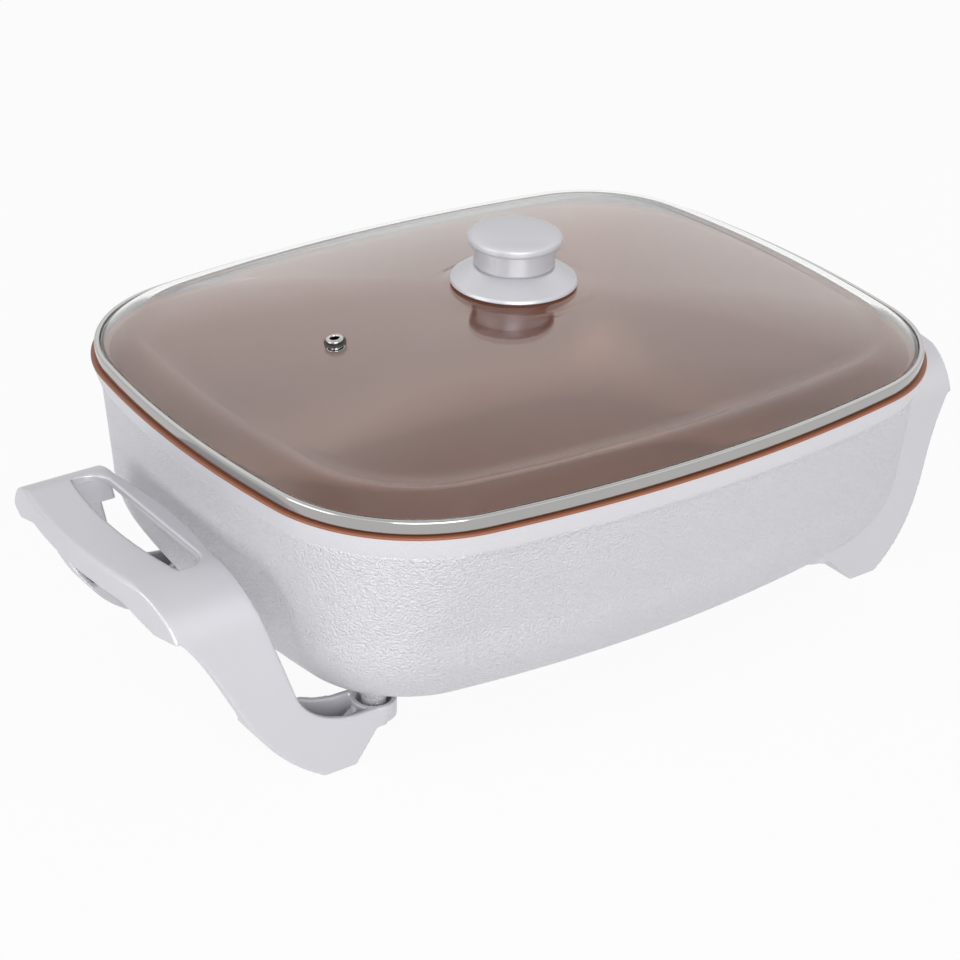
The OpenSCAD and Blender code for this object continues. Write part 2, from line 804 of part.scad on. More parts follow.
module lid_glass() {
    color([0.78, 0.86, 0.86, 0.4])
        difference() {
            skin(concat(glass_face(glass_t), backwards(glass_face(0))));
            translate([0, 0, crown_z - glass_t - 1]) cylinder(d = knob_hole_d, h = glass_t + 2);
            at_vent() translate([0, 0, -2 * glass_t]) cylinder(d = vent_hole_d, h = 3 * glass_t);
        }
}

fold_r = 1.5;
rim_foot = 5.5;
seal_in = 5.3;

// Folded steel channel round the edge of the glass
module lid_rim() {
    profile = [[0.7, rim_z], [0, rim_z + 0.7], [0, rim_top_z - fold_r],
        [0.3 * fold_r, rim_top_z - 0.3 * fold_r], [fold_r, rim_top_z], [rim_lip, rim_top_z],
        [rim_lip, rim_top_z - rim_t], [rim_t + 0.5, rim_top_z - rim_t],
        [rim_t, rim_top_z - rim_t - 0.6], [rim_t, rim_z + rim_t], [rim_foot, rim_z + rim_t],
        [rim_foot, rim_z]];
    color(STEEL) skin([for (p = profile) even_ring(p[0], p[1])], closed = true);
}

// Soft strip under the edge of the glass
module rim_seal() {
    profile = [[rim_t + fit, rim_z + rim_t], [rim_t + fit, glass_top_z - glass_t],
        [seal_in, glass_top_z - glass_t], [seal_in, rim_z + rim_t]];
    color(DARK) skin([for (p = profile) even_ring(p[0], p[1])], closed = true);
}

vent_seal_t = 1;
vent_seal_d = vent_tube_d + 5.4;
vent_cap_d = vent_tube_d + 3;

module vent_seal() {
    color(DARK) at_vent() translate([0, 0, fit])
        washer(vent_seal_d, vent_tube_d + 2 * fit, vent_seal_t);
}

// Eyelet with a raised collar above the glass and a rolled edge below it
module vent_grommet() {
    seat = vent_seal_t + 2 * fit;
    low = -glass_t - 0.6;
    bore = vent_d / 2;
    tube = vent_tube_d / 2;
    cap = vent_cap_d / 2;
    color(STEEL) at_vent()
        rotate_extrude()
            polygon([[bore, low - 1], [tube + 1.6, low - 1], [tube + 1.6, low], [tube, low],
                [tube, seat], [cap, seat], [cap, seat + 1], [cap - 0.7, seat + 1.9],
                [bore + 0.5, seat + 1.9], [bore, seat + 1.4]]);
}

// ---- Knob ----
gasket_t = 1;
flange_z = crown_z + gasket_t;
cone_z = flange_z + flange_edge_h;
neck_z = cone_z + flange_cone_h;
cap_z = neck_z + neck_h;
knob_top_z = cap_z + cap_h;
core_r = 7;
core_z = flange_z + 3.5;
insert_r = knob_screw_d / 2 + 2;
insert_h = 11;
shell_t = 3;

// Skirt that spreads the knob's pull over the glass
module knob_flange() {
    out = flange_d / 2;
    neck = neck_d / 2;
    color(SILVER)
        rotate_extrude()
            polygon([[out - 7, flange_z], [out, flange_z], [out - 0.7, cone_z],
                [neck + 0.5, neck_z], [core_r + fit, neck_z], [core_r + fit, neck_z - shell_t],
                [neck - shell_t, neck_z - shell_t], [out - 7, cone_z - 0.2]]);
}

// Cap and neck, with a core that reaches down through the skirt
module knob() {
    neck = neck_d / 2 - 0.3;
    cap = cap_d / 2;
    rise = cap_h - 3;
    color(SILVER)
        rotate_extrude()
            polygon(concat(
                [[insert_r + fit, core_z], [core_r, core_z], [core_r, neck_z + fit],
                    [neck - 0.8, neck_z + fit], [neck - 0.8, neck_z + 0.7],
                    [neck, neck_z + 1.1], [neck, cap_z], [cap - 0.8, cap_z + 0.4],
                    [cap, cap_z + 1.6]],
                [for (a = [10:16:90]) [cap * cos(a) ^ 0.55, cap_z + 3 + rise * sin(a)]],
                [[0, knob_top_z], [0, core_z + insert_h + 0.5],
                    [insert_r + fit, core_z + insert_h + 0.5]]));
}

module knob_insert() {
    color("goldenrod") translate([0, 0, core_z])
        washer(2 * insert_r, knob_screw_d + 2 * fit, insert_h);
}

module knob_gasket() {
    color(DARK) translate([0, 0, crown_z])
        washer(flange_d - 3.5, flange_d - 13, gasket_t);
}

under_gasket_t = 1;
under_washer_t = 1.2;
under_z0 = crown_z - glass_t - under_gasket_t;

module glass_gasket() {
    color(DARK) translate([0, 0, under_z0])
        washer(4 * knob_screw_d, knob_screw_d + 0.6, under_gasket_t);
}

module knob_washer() {
    color(STEEL) translate([0, 0, under_z0 - under_washer_t])
        washer(3.6 * knob_screw_d, knob_screw_d + 0.6, under_washer_t);
}

module knob_screw() {
    seat = under_z0 - under_washer_t;
    color(STEEL) translate([0, 0, seat])
        screw(knob_screw_d, core_z + insert_h - 1 - seat, 2 * knob_screw_d, 3);
}

pan();
ceramic_coating();
heating_element();
terminal_pins();
terminal_insulators();
socket_guard();
guard_screws();
left_handle();
right_handle();
left_handle_cover();
right_handle_cover();
leg_screws();
leg_washers();
cover_screws();
lid_glass();
lid_rim();
rim_seal();
vent_grommet();
vent_seal();
knob();
knob_flange();
knob_insert();
knob_gasket();
glass_gasket();
knob_washer();
knob_screw();
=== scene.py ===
"""Electric skillet: a deep rectangular pan with a copper-brown lining, two moulded handles
that are also its feet, and a loose domed glass lid. Every piece is made at its place, in metres."""

import math

import bmesh
import bpy
from mathutils import Matrix, Vector


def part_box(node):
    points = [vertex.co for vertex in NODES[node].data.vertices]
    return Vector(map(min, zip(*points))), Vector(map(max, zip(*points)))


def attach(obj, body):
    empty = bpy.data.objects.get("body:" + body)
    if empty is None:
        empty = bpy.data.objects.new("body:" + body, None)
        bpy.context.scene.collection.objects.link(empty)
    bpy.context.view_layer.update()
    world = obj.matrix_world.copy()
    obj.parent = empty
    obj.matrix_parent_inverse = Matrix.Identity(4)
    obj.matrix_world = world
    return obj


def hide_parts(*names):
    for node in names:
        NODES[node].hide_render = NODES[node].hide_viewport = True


bl_info = {
    "name": "Electric Skillet",
    "version": (1, 0, 0),
    "blender": (4, 5, 0),
    "location": "View3D > Sidebar > Skillet",
    "description": "Builds an electric skillet, its finishes and its studio",
    "category": "Add Mesh",
}

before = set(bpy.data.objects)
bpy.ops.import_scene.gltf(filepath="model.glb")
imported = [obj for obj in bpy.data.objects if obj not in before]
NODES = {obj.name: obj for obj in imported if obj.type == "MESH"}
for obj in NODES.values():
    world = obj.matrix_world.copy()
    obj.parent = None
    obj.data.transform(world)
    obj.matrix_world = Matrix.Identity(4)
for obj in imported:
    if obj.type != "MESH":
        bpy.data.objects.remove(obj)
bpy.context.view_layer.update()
MM = 0.001

RIM_LOW, RIM_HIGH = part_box("lid_rim")
LINING_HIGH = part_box("ceramic_coating")[1]
KNOB_LOW, KNOB_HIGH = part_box("knob")
SKIRT_LOW, SKIRT_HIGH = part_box("knob_flange")
ROD_LOW, ROD_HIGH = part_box("heating_element")


def length(name, text, default, **more):
    return bpy.props.FloatProperty(name=name, description=text, default=default, unit="LENGTH",
                                   precision=4, **more)


def share(name, text, default, **more):
    return bpy.props.FloatProperty(name=name, description=text, default=default, min=0.0, **more)


def colour(name, text, default):
    return bpy.props.FloatVectorProperty(name=name, description=text, default=default,
                                         subtype="COLOR", size=3, min=0.0, max=1.0)


# ---- Sizes and finishes that a user would change ----
class SkilletPanSizes(bpy.types.PropertyGroup):
    """Sizes of the pan and its lining"""
    long_side_radius: length("Long side radius", "Radius of the bowed long sides", 0.787)
    short_side_radius: length("Short side radius", "Radius of the bowed short sides", 0.600)
    corner_radius: length("Corner radius", "Corner radius at the lid", 0.084)
    base_height: length("Base height", "Height of the underside over the counter", 0.032)
    taper_x: length("End taper", "Inset of the wall's foot at the ends", 0.0095)
    taper_y: length("Side taper", "Inset of the wall's foot at the sides", 0.0145)
    fillet_height: length("Rounding height", "Height of the rounding at the foot", 0.0457)
    fillet_run: length("Rounding width", "Width of the rounding at the foot", 0.0336)
    foot_corner: length("Foot corner", "Corner radius at the wall's foot", 0.050)
    base_corner: length("Base corner", "Corner radius of the flat underside", 0.065)
    wall: length("Wall", "Thickness of the wall with its lining", 0.004)
    floor: length("Floor", "Thickness of the floor with its lining", 0.004)
    ledge_over: length("Ledge overhang", "Reach of the ledge past the lid", 0.002)
    ledge_in: length("Ledge width", "Inset of the ledge's inner edge from the lid", 0.008)
    lining: length("Lining", "Thickness of the ceramic lining", 0.0005)
    lining_edge: length("Lining edge", "Height of the lining's turned edge", 0.0012)
    band: length("Smooth band", "Height of the smooth band under the ledge", 0.0125)


class SkilletHandleSizes(bpy.types.PropertyGroup):
    """Sizes of the handles"""
    bow: length("Grip bow", "Radius of the grip's bowed outer edge", 0.300)
    bar: length("Grip bar", "Width of the grip bar", 0.024)
    bar_height: length("Grip height", "Height of the grip bar", 0.0215)
    slot_length: length("Slot length", "Length of the finger slot", 0.108)
    slot_width: length("Slot width", "Width of the finger slot", 0.0215)
    plate: length("Top plate", "Thickness of the grip's top", 0.004)
    lip: length("Lip", "Height of the grip's outer wall", 0.012)
    edge: length("Edge", "Cut of the grip's top edge", 0.0016)
    shoulder: length("Shoulder", "Radius where a leg turns into the grip", 0.035)
    lean: share("Lean", "Lean of the legs, inwards per metre of height", 0.233)
    depth: length("Leg depth", "Depth of each leg at its hook", 0.023)
    waist: length("Leg waist", "Depth of each leg half way up", 0.0085)
    wall: length("Handle wall", "Thickness of the handle's wall", 0.0028)
    soften: length("Softening", "Grid that rounds the handles' edges", 0.0006)


class SkilletLidSizes(bpy.types.PropertyGroup):
    """Sizes of the lid, its rim, its vent and its knob"""
    rim_lip: length("Rim lip", "Width of the rim over the glass", 0.0028)
    rim_foot: length("Rim foot", "Width of the rim under the glass", 0.0055)
    rim_fold: length("Rim fold", "Radius of the rim's top fold", 0.0015)
    rim_sheet: length("Rim sheet", "Thickness of the rim's steel", 0.0008)
    glass: length("Glass", "Thickness of the glass", 0.004)
    border: length("Border", "Width of the steeper border of the glass", 0.024)
    border_rise: length("Border rise", "Rise of the steeper border", 0.010)
    dome_rise: length("Dome rise", "Rise of the dome above the border", 0.0202)
    vent_place: share("Vent place", "Place of the vent, as a share of the way to the border", 0.62)
    vent_bore: length("Vent bore", "Bore of the steam vent", 0.0046)
    screw: length("Knob screw", "Diameter of the knob's screw", 0.005)
    neck: length("Neck", "Diameter of the knob's neck", 0.0426)


class SkilletFinish(bpy.types.PropertyGroup):
    """Colours and surface detail"""
    pan_paint: colour("Pan paint", "Hammered silver paint of the pan", (0.66, 0.655, 0.69))
    handle_paint: colour("Handle paint", "Satin silver paint of handles and knob",
                         (0.61, 0.605, 0.64))
    lining: colour("Lining", "Copper-brown ceramic", (0.315, 0.115, 0.060))
    steel: colour("Rim steel", "Polished steel of the rim and the vent", (0.41, 0.407, 0.40))
    hammer_depth: length("Hammer depth", "Depth of the hammered texture", 0.0013)
    hammer_size: length("Hammer size", "Size of one hammered cell", 0.0012)


def pan_sizes():
    return bpy.context.scene.skillet_pan


def lid_sizes():
    return bpy.context.scene.skillet_lid


def handle_sizes():
    return bpy.context.scene.skillet_handles


def finish():
    return bpy.context.scene.skillet_finish


# ---- The rounded oblong shared by the pan and the lid ----
def quarter_turn(steps):
    return [math.pi / 2 * i / steps for i in range(steps + 1)]


def oblong(in_x, in_y, corner, detail=(8, 24, 12)):
    """Points round the outline that is inset by in_x at the ends and in_y at the sides."""
    s = pan_sizes()
    half_x = RIM_HIGH.x - in_x
    half_y = RIM_HIGH.y - in_y
    r_long = s.long_side_radius - in_y
    r_short = s.short_side_radius - in_x
    c_long = Vector((0.0, half_y - r_long))
    c_short = Vector((half_x - r_short, 0.0))
    across = c_short - c_long
    dist = across.length
    along = ((r_long - corner) ** 2 - (r_short - corner) ** 2 + dist ** 2) / (2 * dist)
    off = math.sqrt((r_long - corner) ** 2 - along ** 2)
    way = across / dist
    centre = c_long + way * along + Vector((way.y, -way.x)) * off
    first = math.atan2(centre.y, centre.x - c_short.x)
    second = math.atan2(centre.y - c_long.y, centre.x)

    def arc(c, r, start, end, steps):
        return [c + r * Vector((math.cos(a), math.sin(a)))
                for a in (start + (end - start) * i / steps for i in range(steps))]

    quarter = (arc(c_short, r_short, 0.0, first, detail[0])
               + arc(centre, corner, first, second, detail[1])
               + arc(c_long, r_long, second, math.pi / 2, detail[2])
               + [Vector((0.0, half_y))])
    n = len(quarter) - 1
    turned = [Vector((-p.x, p.y)) for p in reversed(quarter)][:n]
    half = quarter[:n] + turned
    return half + [-p for p in half]


def ring(in_x, in_y, corner, z):
    return [Vector((p.x, p.y, z)) for p in oblong(in_x, in_y, corner)]


def even_ring(inset, z):
    """The outline at one inset all round, at a height."""
    return ring(inset, inset, pan_sizes().corner_radius - inset, z)


def blend_rings(a, b, steps):
    """Rings between a and b, without either."""
    return [[p.lerp(q, i / (steps + 1)) for p, q in zip(a, b)] for i in range(1, steps + 1)]


# ---- Mesh helpers ----
def new_object(name, mesh):
    piece = bpy.data.objects.new(name, mesh)
    bpy.context.scene.collection.objects.link(piece)
    return piece


def smooth(mesh, angle=32.0):
    for face in mesh.polygons:
        face.use_smooth = True
    mesh.set_sharp_from_angle(angle=math.radians(angle))


def mesh_of(name, points, faces):
    mesh = bpy.data.meshes.new(name)
    mesh.from_pydata([tuple(p) for p in points], [], faces)
    mesh.validate()
    smooth(mesh)
    return mesh


def loft(rings, closed=False):
    """Points and faces of a skin over rings of equally many points, its ends capped."""
    n, m = len(rings[0]), len(rings)
    faces = []
    for j in range(m if closed else m - 1):
        a, b = j * n, ((j + 1) % m) * n
        faces += [(a + i, a + (i + 1) % n, b + (i + 1) % n, b + i) for i in range(n)]
    if not closed:
        faces.append(tuple(range(n - 1, -1, -1)))
        faces.append(tuple((m - 1) * n + i for i in range(n)))
    return [p for r in rings for p in r], faces


def revolve(profile, steps=96):
    """Points and faces of a closed profile of (radius, height) turned about Z."""
    points, faces = [], []
    n = len(profile)
    for k in range(steps):
        a = 2 * math.pi * k / steps
        points += [Vector((r * math.cos(a), r * math.sin(a), z)) for r, z in profile]
    for k in range(steps):
        a, b = k * n, ((k + 1) % steps) * n
        for i in range(n):
            j = (i + 1) % n
            if profile[i][0] > 1e-7 or profile[j][0] > 1e-7:
                faces.append((a + i, b + i, b + j, a + j))
    return points, faces


def clean(mesh, merge=1e-6, angle=32.0):
    work = bmesh.new()
    work.from_mesh(mesh)
    bmesh.ops.remove_doubles(work, verts=work.verts, dist=merge)
    bmesh.ops.dissolve_degenerate(work, edges=work.edges, dist=1e-7)
    bmesh.ops.recalc_face_normals(work, faces=work.faces)
    work.to_mesh(mesh)
    work.free()
    smooth(mesh, angle)
    return mesh


def rounded(profile, radius, steps=4):
    """The closed profile with each convex or hollow corner cut back and rounded by radius."""
    out = []
    n = len(profile)
    for i, p in enumerate(profile):
        here = Vector(p)
        back, on = Vector(profile[i - 1]) - here, Vector(profile[(i + 1) % n]) - here
        cut = min(radius, back.length * 0.45, on.length * 0.45)
        if here.x < 1e-7 or cut < 2e-5 or abs(back.angle(on, 0.0) - math.pi) < 0.12:
            out.append(p)
            continue
        start, end = here + back.normalized() * cut, here + on.normalized() * cut
        for k in range(steps + 1):
            t = k / steps
            q = start * (1 - t) ** 2 + here * 2 * t * (1 - t) + end * t ** 2
            out.append((q.x, q.y))
    return out


def turned_piece(name, profile, radius, place=None, steps=96):
    points, faces = revolve(rounded(profile, radius), steps)
    mesh = clean(mesh_of(name, points, faces), angle=38.0)
    if place is not None:
        mesh.transform(place)
    return new_object(name, mesh)


def joined(name, parts, angle=32.0):
    """One mesh of several lists of points and faces, each turned outwards by itself."""
    work = bmesh.new()
    for points, faces in parts:
        verts = [work.verts.new(tuple(p)) for p in points]
        made = [work.faces.new([verts[i] for i in f]) for f in faces]
        bmesh.ops.recalc_face_normals(work, faces=made)
    mesh = bpy.data.meshes.new(name)
    work.to_mesh(mesh)
    work.free()
    smooth(mesh, angle)
    return mesh


def finished(piece):
    """Puts the evaluated mesh of a piece in place of its own and drops its modifiers."""
    graph = bpy.context.evaluated_depsgraph_get()
    mesh = bpy.data.meshes.new_from_object(piece.evaluated_get(graph))
    piece.modifiers.clear()
    if piece.type == "MESH":
        piece.data = mesh
        return piece
    made = new_object(piece.name + ".mesh", mesh)
    name = piece.name
    bpy.data.objects.remove(piece)
    made.name = name
    return made


def carve(piece, shape, operation="DIFFERENCE"):
    """Cuts a closed shape of points and faces out of a piece, or joins or keeps it."""
    cutter = new_object("cutter", joined("cutter", [shape]))
    modifier = piece.modifiers.new("carve", "BOOLEAN")
    modifier.operation, modifier.solver, modifier.object = operation, "EXACT", cutter
    finished(piece)
    bpy.data.objects.remove(cutter)


def prism(outline, place):
    """A flat outline given thickness: place(point, side) puts its points for both sides."""
    n = len(outline)
    points = [place(p, -1) for p in outline] + [place(p, 1) for p in outline]
    faces = [(i, (i + 1) % n, n + (i + 1) % n, n + i) for i in range(n)]
    return points, faces + [tuple(range(n - 1, -1, -1)), tuple(range(n, 2 * n))]


def upright(outline, low, high):
    """Prism of an outline in X and Y between two heights."""
    return prism(outline, lambda p, side: Vector((p[0], p[1], high if side > 0 else low)))


def rod_shape(x, y, radius, low, high, steps=64):
    return upright([(x + radius * math.cos(2 * math.pi * i / steps),
                     y + radius * math.sin(2 * math.pi * i / steps)) for i in range(steps)],
                   low, high)


def dress(piece, body, material, slot, *nodes):
    piece.data.materials.clear()
    piece.data.materials.append(material)
    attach(piece, body)
    if nodes:
        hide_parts(*nodes)


def paint_node(node, material):
    piece = NODES[node]
    piece.data.materials.clear()
    piece.data.materials.append(material)


# ---- Node trees ----
def add(tree, kind, **settings):
    node = tree.nodes.new(kind)
    for key, value in settings.items():
        setattr(node, key, value)
    return node


def link(tree, source, target):
    tree.links.new(source, target)


def new_tree(name, family, inputs, outputs):
    """A node tree with named inputs and outputs, and the nodes that hold them."""
    tree = bpy.data.node_groups.new(name, family + "NodeTree")
    for label, kind, default in inputs:
        socket = tree.interface.new_socket(name=label, in_out="INPUT",
                                           socket_type="NodeSocket" + kind)
        if default is not None:
            socket.default_value = default
    for label, kind in outputs:
        tree.interface.new_socket(name=label, in_out="OUTPUT", socket_type="NodeSocket" + kind)
    return tree, add(tree, "NodeGroupInput"), add(tree, "NodeGroupOutput")


def preset(node, **values):
    """Fixed values for a node's inputs, with _ for a space in their names."""
    for key, value in values.items():
        node.inputs[key.replace("_", " ")].default_value = value
    return node


def math_node(tree, operation, first, second=None, third=None):
    node = add(tree, "ShaderNodeMath", operation=operation)
    for socket, value in zip(node.inputs, (first, second, third)):
        if value is None:
            continue
        if isinstance(value, (int, float)):
            socket.default_value = value
        else:
            link(tree, value, socket)
    return node.outputs[0]


def group_grain():
    """Fine cells and grain as a height from 0 to 1."""
    tree = bpy.data.node_groups.get("Cast Grain")
    if tree:
        return tree
    tree, start, end = new_tree("Cast Grain", "Shader", [
        ("Vector", "Vector", None), ("Cells", "Float", 480.0), ("Fine", "Float", 1500.0),
        ("Fine Share", "Float", 0.3)], [("Height", "Float")])
    wobble = preset(add(tree, "ShaderNodeTexNoise"), Detail=1.0)
    link(tree, start.outputs["Vector"], wobble.inputs["Vector"])
    link(tree, start.outputs["Cells"], wobble.inputs["Scale"])
    mixed = add(tree, "ShaderNodeVectorMath", operation="MULTIPLY_ADD")
    link(tree, wobble.outputs["Color"], mixed.inputs[0])
    mixed.inputs[1].default_value = (0.0012, 0.0012, 0.0012)
    link(tree, start.outputs["Vector"], mixed.inputs[2])
    cells = preset(add(tree, "ShaderNodeTexVoronoi", feature="SMOOTH_F1"), Smoothness=0.3)
    link(tree, mixed.outputs["Vector"], cells.inputs["Vector"])
    link(tree, start.outputs["Cells"], cells.inputs["Scale"])
    fine = preset(add(tree, "ShaderNodeTexNoise"), Detail=3.0, Roughness=0.6)
    link(tree, start.outputs["Vector"], fine.inputs["Vector"])
    link(tree, start.outputs["Fine"], fine.inputs["Scale"])
    domes = math_node(tree, "SUBTRACT", 1.0, cells.outputs["Distance"])
    rest = math_node(tree, "SUBTRACT", 1.0, start.outputs["Fine Share"])
    height = math_node(tree, "MULTIPLY_ADD", domes, rest,
                       math_node(tree, "MULTIPLY", fine.outputs[0], start.outputs["Fine Share"]))
    link(tree, height, end.inputs["Height"])
    return tree


def group_mottle():
    """A colour that drifts a little lighter and darker over the surface."""
    tree = bpy.data.node_groups.get("Soft Mottle")
    if tree:
        return tree
    tree, start, end = new_tree("Soft Mottle", "Shader", [
        ("Vector", "Vector", None), ("Color", "Color", None), ("Scale", "Float", 30.0),
        ("Amount", "Float", 0.06), ("Roughness", "Float", 0.4), ("Spread", "Float", 0.06)],
        [("Color", "Color"), ("Roughness", "Float")])
    noise = preset(add(tree, "ShaderNodeTexNoise"), Detail=4.0)
    link(tree, start.outputs["Vector"], noise.inputs["Vector"])
    link(tree, start.outputs["Scale"], noise.inputs["Scale"])
    drift = math_node(tree, "SUBTRACT", noise.outputs[0], 0.5)
    value = math_node(tree, "MULTIPLY_ADD", drift, start.outputs["Amount"], 1.0)
    tint = add(tree, "ShaderNodeVectorMath", operation="SCALE")
    link(tree, start.outputs["Color"], tint.inputs[0])
    link(tree, value, tint.inputs["Scale"])
    link(tree, tint.outputs["Vector"], end.inputs["Color"])
    rough = math_node(tree, "MULTIPLY_ADD", drift, start.outputs["Spread"],
                      start.outputs["Roughness"])
    link(tree, rough, end.inputs["Roughness"])
    return tree


def group_brush():
    """Fine parallel lines of drawn or turned metal, as a height and a roughness."""
    tree = bpy.data.node_groups.get("Drawn Lines")
    if tree:
        return tree
    tree, start, end = new_tree("Drawn Lines", "Shader", [
        ("Vector", "Vector", None), ("Roughness", "Float", 0.2), ("Spread", "Float", 0.1)],
        [("Height", "Float"), ("Roughness", "Float")])
    noise = preset(add(tree, "ShaderNodeTexNoise"), Scale=60.0, Detail=6.0, Roughness=0.7)
    link(tree, start.outputs["Vector"], noise.inputs["Vector"])
    rough = math_node(tree, "MULTIPLY_ADD", math_node(tree, "SUBTRACT", noise.outputs[0], 0.5),
                      start.outputs["Spread"], start.outputs["Roughness"])
    link(tree, noise.outputs[0], end.inputs["Height"])
    link(tree, rough, end.inputs["Roughness"])
    return tree


def use_group(tree, group, vector, **values):
    node = add(tree, "ShaderNodeGroup")
    node.node_tree = group
    link(tree, vector, node.inputs["Vector"])
    return preset(node, **values)


def new_material(name):
    """A material with its shader and the surface's own coordinates."""
    material = bpy.data.materials.get(name)
    if material:
        return material, None, None, None
    material = bpy.data.materials.new(name)
    material.use_nodes = True
    tree = material.node_tree
    shader = next(n for n in tree.nodes if n.type == "BSDF_PRINCIPLED")
    place = add(tree, "ShaderNodeTexCoord")
    return material, tree, shader, place.outputs["Object"]


def bump(tree, shader, height, depth, strength=1.0):
    node = preset(add(tree, "ShaderNodeBump"), Strength=strength, Distance=depth)
    link(tree, height, node.inputs["Height"])
    link(tree, node.outputs["Normal"], shader.inputs["Normal"])


def stretched(tree, vector, scale):
    node = preset(add(tree, "ShaderNodeMapping"), Scale=scale)
    link(tree, vector, node.inputs["Vector"])
    return node.outputs["Vector"]


def hammered_paint():
    """Silver paint over the cast texture, smooth on the band under the ledge."""
    material, tree, shader, vector = new_material("hammered_silver_paint")
    if tree is None:
        return material
    f, s = finish(), pan_sizes()
    tone = use_group(tree, group_mottle(), vector, Color=(*f.pan_paint, 1.0), Scale=9.0,
                     Amount=0.05, Roughness=0.40, Spread=0.08)
    grain = use_group(tree, group_grain(), vector, Cells=1.0 / f.hammer_size, Fine=1900.0,
                      Fine_Share=0.35)
    apart = add(tree, "ShaderNodeSeparateXYZ")
    link(tree, vector, apart.inputs[0])
    band = LINING_HIGH.z - s.band
    fade = add(tree, "ShaderNodeMapRange", interpolation_type="SMOOTHSTEP")
    preset(fade, From_Min=band - 0.002, From_Max=band + 0.001, To_Min=1.0, To_Max=0.22)
    link(tree, apart.outputs["Z"], fade.inputs["Value"])
    height = math_node(tree, "MULTIPLY", grain.outputs["Height"], fade.outputs["Result"])
    link(tree, tone.outputs["Color"], shader.inputs["Base Color"])
    link(tree, tone.outputs["Roughness"], shader.inputs["Roughness"])
    preset(shader, Metallic=0.25)
    bump(tree, shader, height, f.hammer_depth)
    return material


def coated(name, tint, tone, grain, metallic, depth, strength):
    """Paint, ceramic or plastic: a drifting colour over a fine grain."""
    material, tree, shader, vector = new_material(name)
    if tree is None:
        return material
    base = use_group(tree, group_mottle(), vector, Color=(*tint, 1.0), **tone)
    cells = use_group(tree, group_grain(), vector, **grain)
    link(tree, base.outputs["Color"], shader.inputs["Base Color"])
    link(tree, base.outputs["Roughness"], shader.inputs["Roughness"])
    preset(shader, Metallic=metallic)
    bump(tree, shader, cells.outputs["Height"], depth, strength)
    return material


def satin_paint():
    """Smooth silver paint with a fine orange peel."""
    return coated("satin_silver_paint", finish().handle_paint,
                  {"Scale": 14.0, "Amount": 0.03, "Roughness": 0.34, "Spread": 0.06},
                  {"Cells": 900.0, "Fine": 4200.0, "Fine_Share": 0.5}, 0.3, 0.00003, 0.6)


def ceramic_lining():
    """Copper-brown ceramic, semi-gloss, with a very fine speckle."""
    return coated("copper_ceramic", finish().lining,
                  {"Scale": 7.0, "Amount": 0.10, "Roughness": 0.50, "Spread": 0.08},
                  {"Cells": 1300.0, "Fine": 5200.0, "Fine_Share": 0.5}, 0.25, 0.00004, 0.5)


def metal(name, tint, roughness, spread=0.08, stretch=(1.0, 1.0, 30.0), depth=0.00002):
    """Bare metal with fine lines, drawn out where stretch is small."""
    material, tree, shader, vector = new_material(name)
    if tree is None:
        return material
    lines = use_group(tree, group_brush(), stretched(tree, vector, stretch), Roughness=roughness,
                      Spread=spread)
    tone = use_group(tree, group_mottle(), vector, Color=(*tint, 1.0), Scale=40.0, Amount=0.05)
    link(tree, tone.outputs["Color"], shader.inputs["Base Color"])
    link(tree, lines.outputs["Roughness"], shader.inputs["Roughness"])
    preset(shader, Metallic=1.0)
    bump(tree, shader, lines.outputs["Height"], depth, 0.4)
    return material


def moulded(name, tint, roughness):
    """Moulded rubber, plastic or porcelain."""
    return coated(name, tint,
                  {"Scale": 60.0, "Amount": 0.12, "Roughness": roughness, "Spread": 0.1},
                  {"Cells": 1600.0, "Fine": 5000.0, "Fine_Share": 0.6}, 0.0, 0.00004, 0.5)


def blend(tree, part, first, second):
    """Sends a mix of two shaders to the material's output."""
    mix = add(tree, "ShaderNodeMixShader")
    link(tree, part, mix.inputs["Fac"])
    link(tree, first.outputs[0], mix.inputs[1])
    link(tree, second.outputs[0], mix.inputs[2])
    out = next(n for n in tree.nodes if n.type == "OUTPUT_MATERIAL")
    link(tree, mix.outputs[0], out.inputs["Surface"])


def tempered_glass():
    """Clear glass with a faint wave from its tempering. Light for other surfaces passes it."""
    material, tree, shader, vector = new_material("tempered_glass")
    if tree is None:
        return material
    preset(shader, Base_Color=(0.97, 0.985, 0.98, 1.0), Transmission_Weight=1.0, Roughness=0.0,
           IOR=1.5)
    noise = preset(add(tree, "ShaderNodeTexNoise"), Scale=9.0, Detail=1.0)
    link(tree, vector, noise.inputs["Vector"])
    bump(tree, shader, noise.outputs[0], 0.0002, 0.1)
    clear = preset(add(tree, "ShaderNodeBsdfTransparent"), Color=(0.90, 0.91, 0.905, 1.0))
    path = add(tree, "ShaderNodeLightPath")
    either = math_node(tree, "MAXIMUM", path.outputs["Is Shadow Ray"],
                       path.outputs["Is Diffuse Ray"])
    blend(tree, either, shader, clear)
    return material


def rim_steel():
    return metal("polished_steel", finish().steel, 0.13, 0.05, (3.0, 3.0, 3.0), 0.000008)


def screw_steel():
    return metal("zinc_steel", (0.56, 0.57, 0.59), 0.3, 0.15, (6.0, 6.0, 6.0))


def silicone():
    return moulded("dark_silicone", (0.035, 0.032, 0.032), 0.55)


